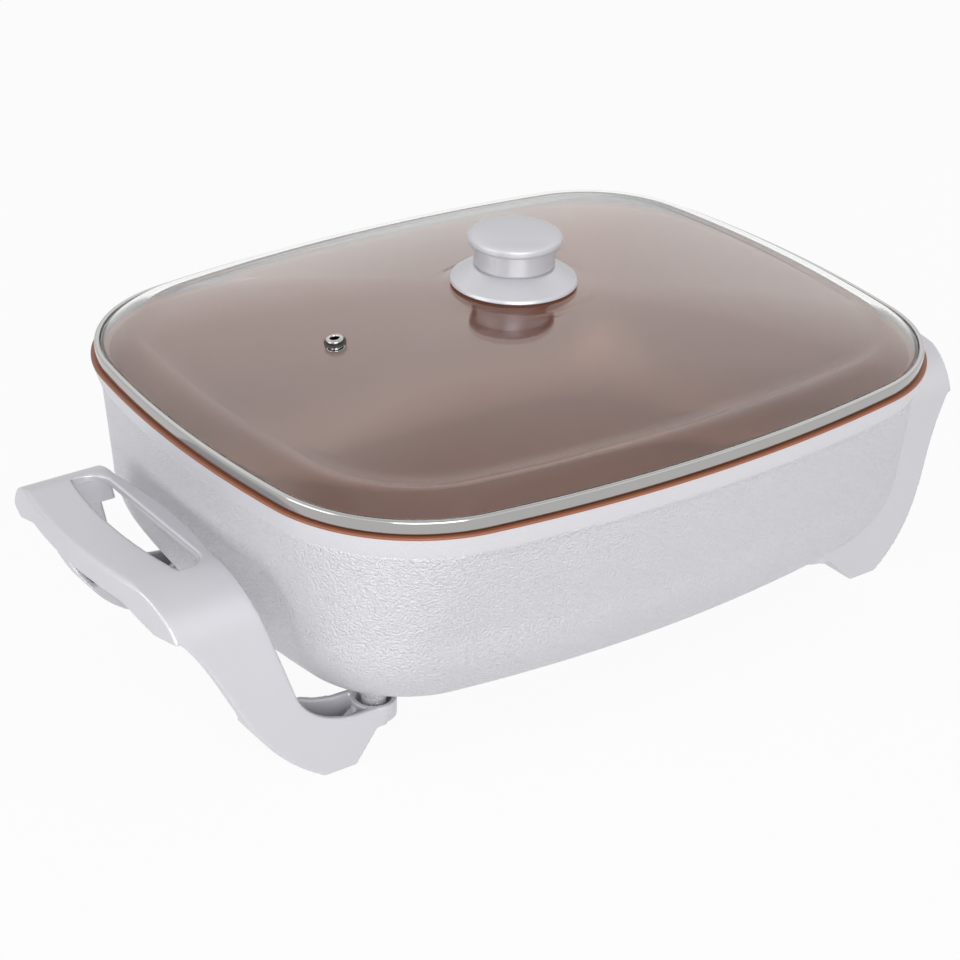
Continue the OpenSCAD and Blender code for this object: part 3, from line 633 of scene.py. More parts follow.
# ---- Geometry node trees ----
def rod_tree():
    """Round rod along a path, with its radius and material as inputs."""
    tree, start, end = new_tree("Rod Along Path", "Geometry", [
        ("Path", "Geometry", None), ("Radius", "Float", 0.004), ("Sides", "Int", 24),
        ("Material", "Material", None)], [("Geometry", "Geometry")])
    section = add(tree, "GeometryNodeCurvePrimitiveCircle")
    link(tree, start.outputs["Sides"], section.inputs["Resolution"])
    link(tree, start.outputs["Radius"], section.inputs["Radius"])
    sweep = add(tree, "GeometryNodeCurveToMesh")
    sweep.inputs["Fill Caps"].default_value = True
    link(tree, start.outputs["Path"], sweep.inputs["Curve"])
    link(tree, section.outputs["Curve"], sweep.inputs["Profile Curve"])
    close_tree(tree, start, end, sweep.outputs["Mesh"])
    return tree


def section_tree():
    """A section drawn by another curve, swept along a flat path."""
    tree, start, end = new_tree("Section Along Path", "Geometry", [
        ("Path", "Geometry", None), ("Section", "Object", None), ("Section Scale", "Float", 1.0),
        ("Material", "Material", None)], [("Geometry", "Geometry")])
    drawn = add(tree, "GeometryNodeObjectInfo", transform_space="ORIGINAL")
    link(tree, start.outputs["Section"], drawn.inputs["Object"])
    upright = add(tree, "GeometryNodeSetCurveNormal", mode="Z_UP")
    link(tree, start.outputs["Path"], upright.inputs["Curve"])
    size = add(tree, "GeometryNodeTransform")
    link(tree, drawn.outputs["Geometry"], size.inputs["Geometry"])
    wide = add(tree, "ShaderNodeCombineXYZ")
    for i in range(3):
        link(tree, start.outputs["Section Scale"], wide.inputs[i])
    link(tree, wide.outputs[0], size.inputs["Scale"])
    sweep = add(tree, "GeometryNodeCurveToMesh")
    link(tree, upright.outputs["Curve"], sweep.inputs["Curve"])
    link(tree, size.outputs["Geometry"], sweep.inputs["Profile Curve"])
    close_tree(tree, start, end, sweep.outputs["Mesh"])
    return tree


def screw_tree():
    """Pan-head screws with a cross recess on the points of a mesh, heads along its normals."""
    tree, start, end = new_tree("Screws On Points", "Geometry", [
        ("Points", "Geometry", None), ("Shank Radius", "Float", 0.002),
        ("Shank Length", "Float", 0.01), ("Head Radius", "Float", 0.004),
        ("Head Height", "Float", 0.0026), ("Heads Along", "Vector", (0.0, 0.0, -1.0)),
        ("Material", "Material", None)], [("Geometry", "Geometry")])

    def scaled(socket, factor):
        return math_node(tree, "MULTIPLY", start.outputs[socket], factor)

    def along_z(value):
        node = add(tree, "ShaderNodeCombineXYZ")
        link(tree, value, node.inputs["Z"])
        return node.outputs[0]

    def moved(geometry, value):
        node = add(tree, "GeometryNodeTransform")
        link(tree, geometry, node.inputs["Geometry"])
        link(tree, along_z(value), node.inputs["Translation"])
        return node.outputs["Geometry"]

    shank = add(tree, "GeometryNodeMeshCylinder")
    shank.inputs["Vertices"].default_value = 24
    link(tree, start.outputs["Shank Radius"], shank.inputs["Radius"])
    link(tree, start.outputs["Shank Length"], shank.inputs["Depth"])
    head = add(tree, "GeometryNodeMeshCylinder")
    head.inputs["Vertices"].default_value = 40
    link(tree, start.outputs["Head Radius"], head.inputs["Radius"])
    link(tree, scaled("Head Height", 0.55), head.inputs["Depth"])
    crown = add(tree, "GeometryNodeMeshCone")
    crown.inputs["Vertices"].default_value = 40
    link(tree, scaled("Head Radius", 0.72), crown.inputs["Radius Top"])
    link(tree, start.outputs["Head Radius"], crown.inputs["Radius Bottom"])
    link(tree, scaled("Head Height", 0.45), crown.inputs["Depth"])
    solid = add(tree, "GeometryNodeMeshBoolean", operation="UNION", solver="EXACT")
    for part in (moved(head.outputs["Mesh"], scaled("Head Height", 0.275)),
                 moved(crown.outputs["Mesh"], scaled("Head Height", 0.549)),
                 moved(shank.outputs["Mesh"], scaled("Shank Length", -0.499))):
        link(tree, part, solid.inputs["Mesh 2"])
    cut = add(tree, "GeometryNodeMeshBoolean", operation="DIFFERENCE", solver="EXACT")
    link(tree, solid.outputs["Mesh"], cut.inputs["Mesh 1"])
    for wide, narrow in ((1.15, 0.24), (0.24, 1.15)):
        blade = add(tree, "GeometryNodeMeshCube")
        size = add(tree, "ShaderNodeCombineXYZ")
        link(tree, scaled("Head Radius", wide), size.inputs["X"])
        link(tree, scaled("Head Radius", narrow), size.inputs["Y"])
        link(tree, scaled("Head Height", 1.1), size.inputs["Z"])
        link(tree, size.outputs[0], blade.inputs["Size"])
        link(tree, moved(blade.outputs["Mesh"], scaled("Head Height", 1.0)), cut.inputs["Mesh 2"])
    aim = add(tree, "FunctionNodeAlignRotationToVector", axis="Z")
    link(tree, start.outputs["Heads Along"], aim.inputs["Vector"])
    spread = add(tree, "GeometryNodeInstanceOnPoints")
    link(tree, start.outputs["Points"], spread.inputs["Points"])
    link(tree, cut.outputs["Mesh"], spread.inputs["Instance"])
    link(tree, aim.outputs["Rotation"], spread.inputs["Rotation"])
    close_tree(tree, start, end, spread.outputs["Instances"])
    return tree


def close_tree(tree, start, end, geometry):
    """Every tree ends in real geometry with its material set."""
    real = add(tree, "GeometryNodeRealizeInstances")
    link(tree, geometry, real.inputs["Geometry"])
    coat = add(tree, "GeometryNodeSetMaterial")
    link(tree, real.outputs["Geometry"], coat.inputs["Geometry"])
    link(tree, start.outputs["Material"], coat.inputs["Material"])
    link(tree, coat.outputs["Geometry"], end.inputs["Geometry"])


def run_tree(piece, make_tree, values):
    """Runs a tree on a piece with the named inputs and keeps the plain mesh."""
    tree = make_tree()
    modifier = piece.modifiers.new(tree.name, "NODES")
    modifier.node_group = tree
    for item in tree.interface.items_tree:
        if item.item_type == "SOCKET" and item.in_out == "INPUT" and item.name in values:
            modifier[item.identifier] = values[item.name]
    made = finished(piece)
    if len(made.data.polygons) == 0:
        raise RuntimeError(f"{tree.name} made nothing for {made.name}")
    return made


def path_curve(name, points, closed=True):
    curve = bpy.data.curves.new(name, "CURVE")
    curve.dimensions = "3D"
    line = curve.splines.new("POLY")
    line.points.add(len(points) - 1)
    for p, q in zip(line.points, points):
        p.co = (q[0], q[1], q[2] if len(q) > 2 else 0.0, 1.0)
    line.use_cyclic_u = closed
    return new_object(name, curve)


def swept(name, path, profile, material):
    """A closed section of (out, up) points swept along a closed path in the plane z = 0."""
    rail = path_curve(name, path)
    section = path_curve(name + ".section", [(out, -up) for out, up in profile])
    made = run_tree(rail, section_tree, {"Section": section, "Section Scale": 1.0,
                                         "Material": material})
    bpy.data.objects.remove(section)
    clean(made.data, 1e-7, 40.0)
    return made


# ---- Pan ----
def pan_outside():
    """Rings of the pan's outer face from the flat underside up to the ledge."""
    s = pan_sizes()
    band = LINING_HIGH.z - s.band
    edge = LINING_HIGH.z - s.lining_edge
    rings = []
    for t in quarter_turn(18):
        k = 1 - math.sin(t)
        rings.append(ring(s.taper_x + s.fillet_run * k, s.taper_y + s.fillet_run * k,
                          s.foot_corner + (s.base_corner - s.foot_corner) * k,
                          s.base_height + s.fillet_height * (1 - math.cos(t))))
    low = even_ring(2.7 * MM, band - 0.5 * MM)
    rings += blend_rings(rings[-1], low, 10) + [low]
    rings += [even_ring(2.35 * MM, band - 0.1 * MM), even_ring(1.7 * MM, band + 0.25 * MM)]
    rings += [even_ring(1.5 * MM, band + 0.6 * MM)]
    top = even_ring(-s.ledge_over, edge)
    return rings + blend_rings(rings[-1], top, 4) + [top]


def bowl(g):
    """Inside of the bowl from the turned edge to the floor, g under the lining's face."""
    s = pan_sizes()
    top = LINING_HIGH.z - g
    turn = 0.5 * MM
    floor = s.base_height + s.floor - g
    rings = [even_ring(g - s.ledge_over, LINING_HIGH.z - s.lining_edge)]
    rings += [even_ring(g - s.ledge_over + turn * (1 - math.cos(t)), top - turn * (1 - math.sin(t)))
              for t in quarter_turn(4)]
    soft = 1.2 * MM
    rings += [even_ring(s.ledge_in - g - 0.4 * MM + soft * math.sin(t),
                        top - soft * (1 - math.cos(t)))
              for t in quarter_turn(5)]
    wall = []
    for t in quarter_turn(18):
        k = 1 - math.cos(t)
        wall.append(ring(s.taper_x + s.wall - g + (s.fillet_run - s.wall) * k,
                         s.taper_y + s.wall - g + (s.fillet_run - s.wall) * k,
                         s.foot_corner - s.wall + g + (s.base_corner - s.foot_corner) * k,
                         floor + (s.fillet_height - s.floor) * (1 - math.sin(t))))
    return rings + blend_rings(rings[-1], wall[0], 8) + wall


def box_ring(half_x, half_y, corner, z, steps):
    """A flat rounded rectangle about the origin."""
    points = []
    for turn, (sx, sy) in enumerate(((1, 1), (-1, 1), (-1, -1), (1, -1))):
        for i in range(steps + 1):
            a = math.pi / 2 * (turn + i / steps)
            points.append(Vector((sx * (half_x - corner) + corner * math.cos(a),
                                  sy * (half_y - corner) + corner * math.sin(a), z)))
    return points


LOOP_HALF_X, LOOP_HALF_Y, LOOP_CORNER = 0.105, 0.062, 0.030
BOSS_X, BOSS_Y, BOSS_Z = 0.143, 0.08684, 0.017
BLOCK_FROM, BLOCK_X, BLOCK_HALF_Y, BLOCK_Z = 0.103, 0.186, 0.032, 0.022
ROD_Z = 0.028
TERMINAL_Y = 0.015
# Bends that lead the rod from its terminals into the loop
BEND_X, BEND_Y, BEND_R = 0.118, 0.028, 0.013
PROBE_R, PROBE_DEEP = 3.75 * MM, 0.045


def rounding_z(x):
    """Height of the pan's underside at x, where it rounds up into the end wall."""
    s = pan_sizes()
    k = (RIM_HIGH.x - s.taper_x - x) / s.fillet_run
    return s.base_height + s.fillet_height * (1 - math.sqrt(max(0.0, 1 - (1 - k) ** 2)))


def under_parts():
    """Bosses, ribs and the socket's block under the floor."""
    base = pan_sizes().base_height
    parts = []
    for sx in (1, -1):
        for sy in (1, -1):
            at = Vector((sx * BOSS_X, sy * BOSS_Y, 0.0))
            profile = rounded([(0.0, BOSS_Z), (6 * MM, BOSS_Z), (6.2 * MM, base - 8.5 * MM),
                               (7.6 * MM, base - 4.5 * MM), (10.5 * MM, base + 1.2 * MM),
                               (0.0, base + 1.2 * MM)], 0.8 * MM)
            points, faces = revolve(profile, 48)
            parts.append(([p + at for p in points], faces))
            line = [(0.0, BOSS_Z + 5 * MM), (6 * MM, BOSS_Z + 5 * MM), (22 * MM, base - 2 * MM),
                    (22 * MM, base + 2 * MM), (0.0, base + 2 * MM)]
            parts.append(prism(line, lambda p, side, at=at, sx=sx: Vector(
                (at.x + sx * p[0], at.y + side * 2 * MM, p[1]))))
    outline = [(BLOCK_FROM, BLOCK_Z + 1 * MM), (BLOCK_FROM + 1 * MM, BLOCK_Z),
               (BLOCK_X - 1 * MM, BLOCK_Z), (BLOCK_X, BLOCK_Z + 1 * MM)]
    reach = RIM_HIGH.x - pan_sizes().taper_x - pan_sizes().fillet_run
    for i in range(11):
        x = BLOCK_X + (reach - BLOCK_X) * i / 10
        outline.append((x, rounding_z(x + 1.6 * MM * (1 - i / 10)) + 1.6 * MM))
    outline.append((BLOCK_FROM, base + 1.6 * MM))
    parts.append(prism(outline, lambda p, side: Vector((p[0], side * BLOCK_HALF_Y, p[1]))))
    return parts


class SKILLET_OT_pan(bpy.types.Operator):
    """Casts the pan with its ledge, bosses, ribs and socket block"""
    bl_idname = "skillet.pan"
    bl_label = "Pan"

    def execute(self, context):
        block = new_object("block", joined("block", under_parts()))
        points, faces = rod_shape(0.0, 0.0, PROBE_R, BLOCK_X - PROBE_DEEP, BLOCK_X + 0.002, 40)
        carve(block, ([Vector((p.z, p.y, ROD_Z - p.x)) for p in points], faces))
        shell = loft(pan_outside() + bowl(pan_sizes().lining))
        mesh = joined("pan_casting", [shell], 30.0)
        piece = new_object("pan_casting", mesh)
        base = pan_sizes().base_height
        rib = [(-7, base / MM + 0.4), (-7, 26), (-6, 25), (-3.6, 25), (-3.6, 26.5), (-4, 29),
               (4, 29), (3.6, 26.5), (3.6, 25), (6, 25), (7, 26), (7, base / MM + 0.4)]
        path = box_ring(LOOP_HALF_X, LOOP_HALF_Y, LOOP_CORNER, 0.0, 12)
        paint = hammered_paint()
        track = swept("rib", path, [(x * MM, z * MM) for x, z in rib], paint)
        work = bmesh.new()
        for part in (piece, block, track):
            work.from_mesh(part.data)
        work.to_mesh(mesh)
        work.free()
        smooth(mesh, 30.0)
        for part in (block, track):
            bpy.data.objects.remove(part)
        dress(piece, "base", paint, "pan_paint", "pan")
        return {"FINISHED"}


class SKILLET_OT_lining(bpy.types.Operator):
    """Lines the pan with copper-brown ceramic up to its turned edge"""
    bl_idname = "skillet.lining"
    bl_label = "Lining"

    def execute(self, context):
        outer = bowl(pan_sizes().lining)
        outer.reverse()
        points, faces = loft(outer + bowl(0.0))
        mesh = joined("pan_lining", [(points, faces)], 40.0)
        dress(new_object("pan_lining", mesh), "base", ceramic_lining(), "ceramic_lining",
              "ceramic_coating")
        return {"FINISHED"}


# ---- Handles ----
WAIST_FROM, WAIST_TO = 28 * MM, 97 * MM
RELIEF_END, RELIEF_FLAT = 68 * MM, 34 * MM
RUN_OUT_OUTER, RUN_OUT_INNER = 69 * MM, 48 * MM
LIP_DEPTH = 8 * MM
BAR_BOW, BAR_WIDTH = 276 * MM, 9.5 * MM
SLOT_CORNER = 11 * MM
COVER_HALF = 60.4 * MM
LEG_SCREW_R = 2.3 * MM
GUSSET_HALF = 2.2 * MM
# The rib in a hook, in millimetres from the boss and up from the soles
GUSSET = ((8, 23.6), (30, 9), (30, 1), (20.6, 1), (6.6, 14.9))
BOW_STEPS = 720
SMOOTHING, MOULDED_FACES = 14, 170000


def bezier(a, b, c, d, steps=32):
    """Points of a curve after its start, as (x, z)."""
    a, b, c, d = (Vector(p) for p in (a, b, c, d))
    return [a * (1 - t) ** 3 + 3 * b * (1 - t) ** 2 * t + 3 * c * (1 - t) * t ** 2 + d * t ** 3
            for t in (i / steps for i in range(1, steps + 1))]


def arch(half_width, top, radius, steps=32):
    """Outline in Y and Z of leaning sides, round shoulders and a flat top."""
    lean = handle_sizes().lean
    centre = (half_width - lean * (top - radius) - radius * math.sqrt(1 + lean ** 2), top - radius)
    first = math.atan(lean)
    side = [(half_width, 0.0)]
    for i in range(steps + 1):
        a = first + (math.pi / 2 - first) * i / steps
        side.append((centre[0] + radius * math.cos(a), centre[1] + radius * math.sin(a)))
    return side + [(-y, z) for y, z in reversed(side)]


def beside(line, d):
    """An open line moved to its left by d."""
    out = []
    last = len(line) - 1
    for i, p in enumerate(line):
        before = (line[max(i, 1)] - line[max(i, 1) - 1]).normalized()
        after = (line[min(i, last - 1) + 1] - line[min(i, last - 1)]).normalized()
        n1, n2 = Vector((-before.y, before.x)), Vector((-after.y, after.x))
        out.append(p + (n1 + n2) * d / (1 + n1.dot(n2)))
    return out


class HandleForm:
    """Measures and shapes of the right handle, which the left one mirrors."""

    def __init__(self):
        h = handle_sizes()
        low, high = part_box("right_handle")
        self.tip, self.top = high.x, high.z
        self.half = high.y
        self.centre = self.tip - h.bow
        self.under = self.top - h.bar_height
        self.slot_out = h.bow - h.bar
        self.slot_in = self.tip - h.bar - h.slot_width
        self.inner_half = self.half - h.depth
        self.end = RIM_HIGH.x
        self.hook_low, self.hook_high = BOSS_Z - h.wall, pan_sizes().base_height - 8 * MM
        self.lip_in = h.bow - LIP_DEPTH - h.wall
        # A leg's outer and inner line in X and Z, drawn from the rim's end, the tip and the hook
        x, tip, under, hook = self.end, self.tip, self.under, self.hook_high
        outer = [Vector((BOSS_X, self.hook_low)), Vector((BOSS_X + 5.6 * MM, self.hook_low)),
                 Vector((x - 37 * MM, 0.0)), Vector((x - 19 * MM, 0.0))]
        outer += bezier(outer[-1], (tip - 36 * MM, under * 0.28), (tip - 40 * MM, under * 0.66),
                        (tip - 14 * MM, under), 40)
        self.outer = outer + [Vector((tip + MM, under)), Vector((tip + MM, self.top)),
                              Vector((tip - 13 * MM, self.top))]
        start = Vector((self.slot_in - 5.5 * MM, self.top))
        knee = (x - 9.4 * MM, hook + 19 * MM)
        self.inner = [start] + bezier(start, (x + 4 * MM, self.top * 0.83),
                                      (x - 3 * MM, self.top * 0.62), knee, 28)
        self.inner += bezier(knee, (x - 13.5 * MM, hook + 7 * MM), (x - 27 * MM, hook),
                             (x - 48 * MM, hook), 28) + [Vector((BOSS_X, hook))]

    def along_y(self, outline):
        return prism(outline, lambda p, side: Vector((p[0], side * 0.12, p[1])))

    def along_x(self, outline):
        return prism(outline, lambda p, side: Vector((self.tip + 0.02 if side > 0 else 0.0,
                                                      p[0], p[1])))

    def bowed(self, profile):
        """A profile of (radius, height) turned about the centre of the grip's bow."""
        points, faces = revolve(profile, BOW_STEPS)
        return [p + Vector((self.centre, 0.0, 0.0)) for p in points], faces

    def drum(self, radius, low, high):
        """Full disc about the bow's centre."""
        return self.bowed([(0.0, low), (radius, low), (radius, high), (0.0, high)])

    def on_bow(self, radius, y):
        """Point at y on an arc about the bow's centre."""
        return (self.centre + math.sqrt(radius ** 2 - y ** 2), y)

    def band(self, inner, outer, half, low, high, steps=40):
        """Part of a ring about the bow's centre, within half to each side."""
        ys = [half * (2 * i / steps - 1) for i in range(steps + 1)]
        return upright([self.on_bow(outer, y) for y in ys]
                       + [self.on_bow(inner, y) for y in reversed(ys)], low, high)

    def relief(self, grown):
        """Wedge under the grip's lip that thins the bowed wall between the legs."""
        h, under = handle_sizes(), self.under
        back, up = 0.69 * grown, 0.73 * grown
        lip = self.top - h.lip
        far = h.bow + h.bar
        wedge = new_object("wedge", joined("wedge", [self.bowed(
            [(self.lip_in + 2 * MM - back, under - MM), (far, under - MM),
             (far, lip + 2 * MM + up), (h.bow + 2 * MM - back, lip + 2 * MM + up),
             (self.lip_in + 2 * MM - back, under + up)])]))
        end, flat = RELIEF_END + grown, RELIEF_FLAT + grown
        high = lip + 3 * MM + grown
        carve(wedge, self.along_x([(-end, under - 2 * MM), (-end, under), (-flat, high),
                                   (flat, high), (end, under), (end, under - 2 * MM)]),
              "INTERSECT")
        spots = [self.on_bow(h.bow + 0.5 * MM - 1.2 * grown, RUN_OUT_OUTER + grown),
                 self.on_bow(self.lip_in + MM - 1.2 * grown, RUN_OUT_INNER)]
        runs_out = spots + [self.on_bow(self.lip_in - 12 * MM, 0.0)]
        runs_out += [(x, -y) for x, y in reversed(spots)]
        beyond = self.tip + 0.04
        runs_out += [(beyond, -spots[0][1]), (beyond, spots[0][1])]
        carve(wedge, upright(runs_out, under - 3 * MM, self.top), "INTERSECT")
        return taken(wedge)

    def hollow(self):
        """Hollow of the legs, open towards the pan."""
        h = handle_sizes()
        slant = math.sqrt(1 + h.lean ** 2)
        inside = beside(self.outer, h.wall) + [p + Vector((-8 * MM, 8 * MM)) for p in self.inner]
        core = new_object("core", joined("core", [self.along_y(inside)]))
        carve(core, self.along_x(arch(self.half - h.wall * slant, self.top - h.wall,
                                      h.shoulder - h.wall)), "INTERSECT")
        carve(core, self.drum(h.bow - h.wall, -MM, self.top), "INTERSECT")
        carve(core, self.along_x(arch(self.inner_half + h.wall * slant, self.top + 0.02, 4 * MM)))
        carve(core, self.relief(h.wall))
        return taken(core)

    def waist(self, low_z, high_z):
        """What the legs lack inside, between two heights."""
        h = handle_sizes()
        low = Vector((self.inner_half - h.lean * low_z - MM, low_z))
        high = Vector((self.inner_half - h.lean * high_z, high_z))
        rise = (high_z - low_z) * 0.20
        line = [low] + bezier(low, low + Vector((0.026, rise)), high + Vector((0.028, -rise)), high)
        cut = new_object("cut", joined("cut", [self.along_x(
            line + [Vector((-p.x, p.y)) for p in reversed(line)])]))
        carve(cut, self.along_x(arch(self.half - h.waist, self.under, 4 * MM)), "INTERSECT")
        return taken(cut)

    def slot(self):
        """Finger slot between the bar and the legs."""
        r, half, x = SLOT_CORNER, handle_sizes().slot_length / 2, self.slot_in
        out = self.slot_out - 0.4 * MM
        ys = [half * (2 * i / 40 - 1) for i in range(41)]
        outline = [self.on_bow(out, y) for y in ys]
        for sy in (1, -1):
            turn = [(x + r - r * math.cos(a), sy * (half - r + r * math.sin(a)))
                    for a in quarter_turn(12)]
            outline += reversed(turn) if sy > 0 else turn
        return upright(outline, self.top - 12 * MM, self.top + 2 * MM)

    def inner_bar(self):
        """Bar along the slot's inner edge, bowed towards the pan."""
        bow, x = BAR_BOW, self.slot_in - BAR_WIDTH
        half = handle_sizes().slot_length / 2 + 4 * MM
        ys = [half * (2 * i / 40 - 1) for i in range(41)]
        outline = [(x + bow - math.sqrt(bow ** 2 - y ** 2), y) for y in reversed(ys)]
        outline += [(self.slot_in + 2 * MM, -half), (self.slot_in + 2 * MM, half)]
        return upright(outline, self.top - handle_sizes().plate - MM, self.top)


def taken(piece):
    """Points and faces of a helper piece, which is removed."""
    shape = ([v.co.copy() for v in piece.data.vertices],
             [tuple(f.vertices) for f in piece.data.polygons])
    bpy.data.objects.remove(piece)
    return shape


def handle_body():
    """The right handle with sharp edges, cut and joined from simple closed shapes."""
    h, form = handle_sizes(), HandleForm()
    under, top = form.under, form.top
    body = new_object("handle", joined("handle", [form.along_y(form.outer + form.inner)]))
    carve(body, form.inner_bar(), "UNION")
    carve(body, form.along_x(arch(form.half, top, h.shoulder)), "INTERSECT")
    carve(body, form.bowed([(0.0, -MM), (h.bow, -MM), (h.bow, top - h.edge),
                            (h.bow - h.edge - MM, top + MM), (0.0, top + MM)]), "INTERSECT")
    carve(body, form.relief(0.0))
    carve(body, form.along_x(arch(form.inner_half, under, 4 * MM)))
    carve(body, form.waist(WAIST_FROM, WAIST_TO))
    room = new_object("room", joined("room", [form.along_x(arch(form.inner_half - 0.5 * MM,
                                                                top - h.plate, 5 * MM))]))
    carve(room, form.drum(form.slot_out, -MM, top), "INTERSECT")
    carve(body, taken(room))
    carve(body, form.hollow())
    carve(body, form.band(form.slot_out + h.wall, form.lip_in, COVER_HALF, under - 6 * MM,
                          under + 3 * MM))
    for sy in (1, -1):
        at = (BOSS_X, sy * BOSS_Y)
        carve(body, rod_shape(*at, h.depth / 2, form.hook_low, form.hook_high), "UNION")
        carve(body, prism([(BOSS_X + x * MM, z * MM) for x, z in GUSSET], lambda p, side: Vector(
            (p[0], at[1] + side * GUSSET_HALF, p[1]))), "UNION")
        carve(body, rod_shape(*at, h.depth / 2 - h.wall, BOSS_Z, form.hook_high + MM))
        carve(body, rod_shape(*at, LEG_SCREW_R, form.hook_low - MM, BOSS_Z + MM))
    carve(body, form.slot())
    return body


def softened(piece, grid, passes, faces):
    """Rounds the edges of a moulded body and keeps at most so many faces."""
    voxels = piece.modifiers.new("grid", "REMESH")
    voxels.mode, voxels.voxel_size = "VOXEL", grid
    relax = piece.modifiers.new("relax", "SMOOTH")
    relax.factor, relax.iterations = 0.5, passes
    finished(piece)
    thin = piece.modifiers.new("thin", "DECIMATE")
    thin.ratio = min(1.0, faces / (2.0 * len(piece.data.polygons)))
    finished(piece)
    for face in piece.data.polygons:
        face.use_smooth = True
    return piece


class SKILLET_OT_handles(bpy.types.Operator):
    """Moulds both handles with rounded edges and paints the covers under their grips"""
    bl_idname = "skillet.handles"
    bl_label = "Handles"

    def execute(self, context):
        grid = handle_sizes().soften * 1.0
        right = softened(handle_body(), grid, SMOOTHING, MOULDED_FACES)
        right.name = "right_handle_moulding"
        mesh = right.data.copy()
        mesh.transform(Matrix.Scale(-1.0, 4, (1.0, 0.0, 0.0)))
        mesh.flip_normals()
        left = new_object("left_handle_moulding", mesh)
        for side, piece in (("right", right), ("left", left)):
            dress(piece, "base", satin_paint(), "handle_paint", f"{side}_handle")
            paint_node(f"{side}_handle_cover", satin_paint())
        return {"FINISHED"}


# ---- Lid ----
def glass_levels():
    """Heights of the glass at its edge, at its border and at the crown."""
    s = lid_sizes()
    edge = RIM_HIGH.z - s.rim_sheet - 0.1 * MM
    border = edge + s.border_rise
    return edge, border, border + s.dome_rise


def dome_z(part):
    """Height of the dome at a share of the way from the middle to the border."""
    s = lid_sizes()
    return glass_levels()[1] + s.dome_rise * (1 - part ** 2)


def glass_face(g):
    """Rings of one face of the glass from the knob's seat out to the edge, lowered by g."""
    s = lid_sizes()
    edge, border, crown = glass_levels()
    shape = oblong(s.border, s.border, pan_sizes().corner_radius - s.border)
    seat = (SKIRT_HIGH.x - SKIRT_LOW.x) / 2 + 1.5 * MM
    hole = s.screw / 2 + 1 * MM
    rings = [[Vector((p.x, p.y, 0)).normalized() * r + Vector((0, 0, crown - g)) for p in shape]
             for r in (hole, seat * 0.5, seat)]
    start = (seat / (RIM_HIGH.y - s.border)) ** 1.3
    for i in range(1, 25):
        t = i / 24
        part = start + (1 - start) * t
        soft = min(1.0, t * 3.0)
        line = []
        for p in shape:
            flat = Vector((p.x, p.y, 0)).normalized() * (seat + (p.length - seat) * t)
            spot = Vector((p.x, p.y, 0)) * part
            q = flat.lerp(spot, soft)
            reach = q.length / p.length
            line.append(Vector((q.x, q.y, min(dome_z(reach), crown) - g)))
        rings.append(line)
    for i in range(1, 13):
        t = 1 - i / 12
        rings.append(even_ring(s.rim_lip + (s.border - s.rim_lip) * t,
                               edge + s.border_rise * math.sin(math.pi / 2 * t) - g))
    rings.append(even_ring(s.rim_sheet + 0.6 * MM, edge - g))
    return rings


def vent_place():
    """Matrix that stands the vent on the glass."""
    s = lid_sizes()
    reach = RIM_HIGH.x - s.border
    low, high = s.vent_place - 0.08, s.vent_place + 0.08
    tilt = math.atan((dome_z(low) - dome_z(high)) / ((high - low) * reach))
    spot = Vector((-s.vent_place * reach, 0.0, (dome_z(low) + dome_z(high)) / 2))
    return Matrix.Translation(spot) @ Matrix.Rotation(-tilt, 4, "Y")


class SKILLET_OT_glass(bpy.types.Operator):
    """Sags the domed glass and bores it for the knob and the vent"""
    bl_idname = "skillet.glass"
    bl_label = "Glass"

    def execute(self, context):
        lower = glass_face(lid_sizes().glass)
        upper = glass_face(0.0)
        upper.reverse()
        points, faces = loft(lower + upper, closed=True)
        piece = new_object("lid_dome", joined("lid_dome", [(points, faces)], 50.0))
        points, faces = rod_shape(0.0, 0.0, lid_sizes().vent_bore / 2 + 1.2 * MM, -10 * MM,
                                  10 * MM, 48)
        carve(piece, ([vent_place() @ p for p in points], faces))
        smooth(piece.data, 50.0)
        dress(piece, "lid", tempered_glass(), "lid_glass", "lid_glass")
        return {"FINISHED"}


class SKILLET_OT_rim(bpy.types.Operator):
    """Folds the steel rim round the glass and lays the seal in it"""
    bl_idname = "skillet.rim"
    bl_label = "Rim and seal"

    def execute(self, context):
        s = lid_sizes()
        t, lip, foot, fold = s.rim_sheet, s.rim_lip, s.rim_foot, s.rim_fold
        low, high = RIM_LOW.z, RIM_HIGH.z
        path = [(p.x, p.y, 0.0) for p in oblong(0.0, 0.0, pan_sizes().corner_radius)]
        roll, soft = 0.9 * MM, 0.35 * MM
        out = [(-foot, low), (-roll, low)]
        out += [(-roll * (1 - math.sin(a)), low + roll * (1 - math.cos(a)))
                for a in quarter_turn(5)[1:]]
        out += [(-fold * (1 - math.cos(a)), high - fold * (1 - math.sin(a)))
                for a in quarter_turn(8)]
        out += [(-lip + soft * (1 - math.sin(a)), high - soft * (1 - math.cos(a)))
                for a in quarter_turn(4)]
        out[-5:] = reversed(out[-5:])
        out += [(-lip, high - t)]
        inner = fold - t
        out += [(-t - inner * (1 - math.cos(a)), high - t - inner * (1 - math.sin(a)))
                for a in reversed(quarter_turn(5))]
        out += [(-t, low + t), (-foot, low + t)]
        rim = swept("lid_rim_channel", path, out, rim_steel())
        dress(rim, "lid", rim_steel(), "rim_steel", "lid_rim")
        edge = glass_levels()[0] - s.glass
        seal = [(-t - 0.1 * MM, low + t), (-t - 0.1 * MM, edge), (-foot + 0.2 * MM, edge),
                (-foot + 0.2 * MM, low + t)]
        strip = swept("lid_rim_seal", path, seal, silicone())
        dress(strip, "lid", silicone(), "seal", "rim_seal")
        return {"FINISHED"}


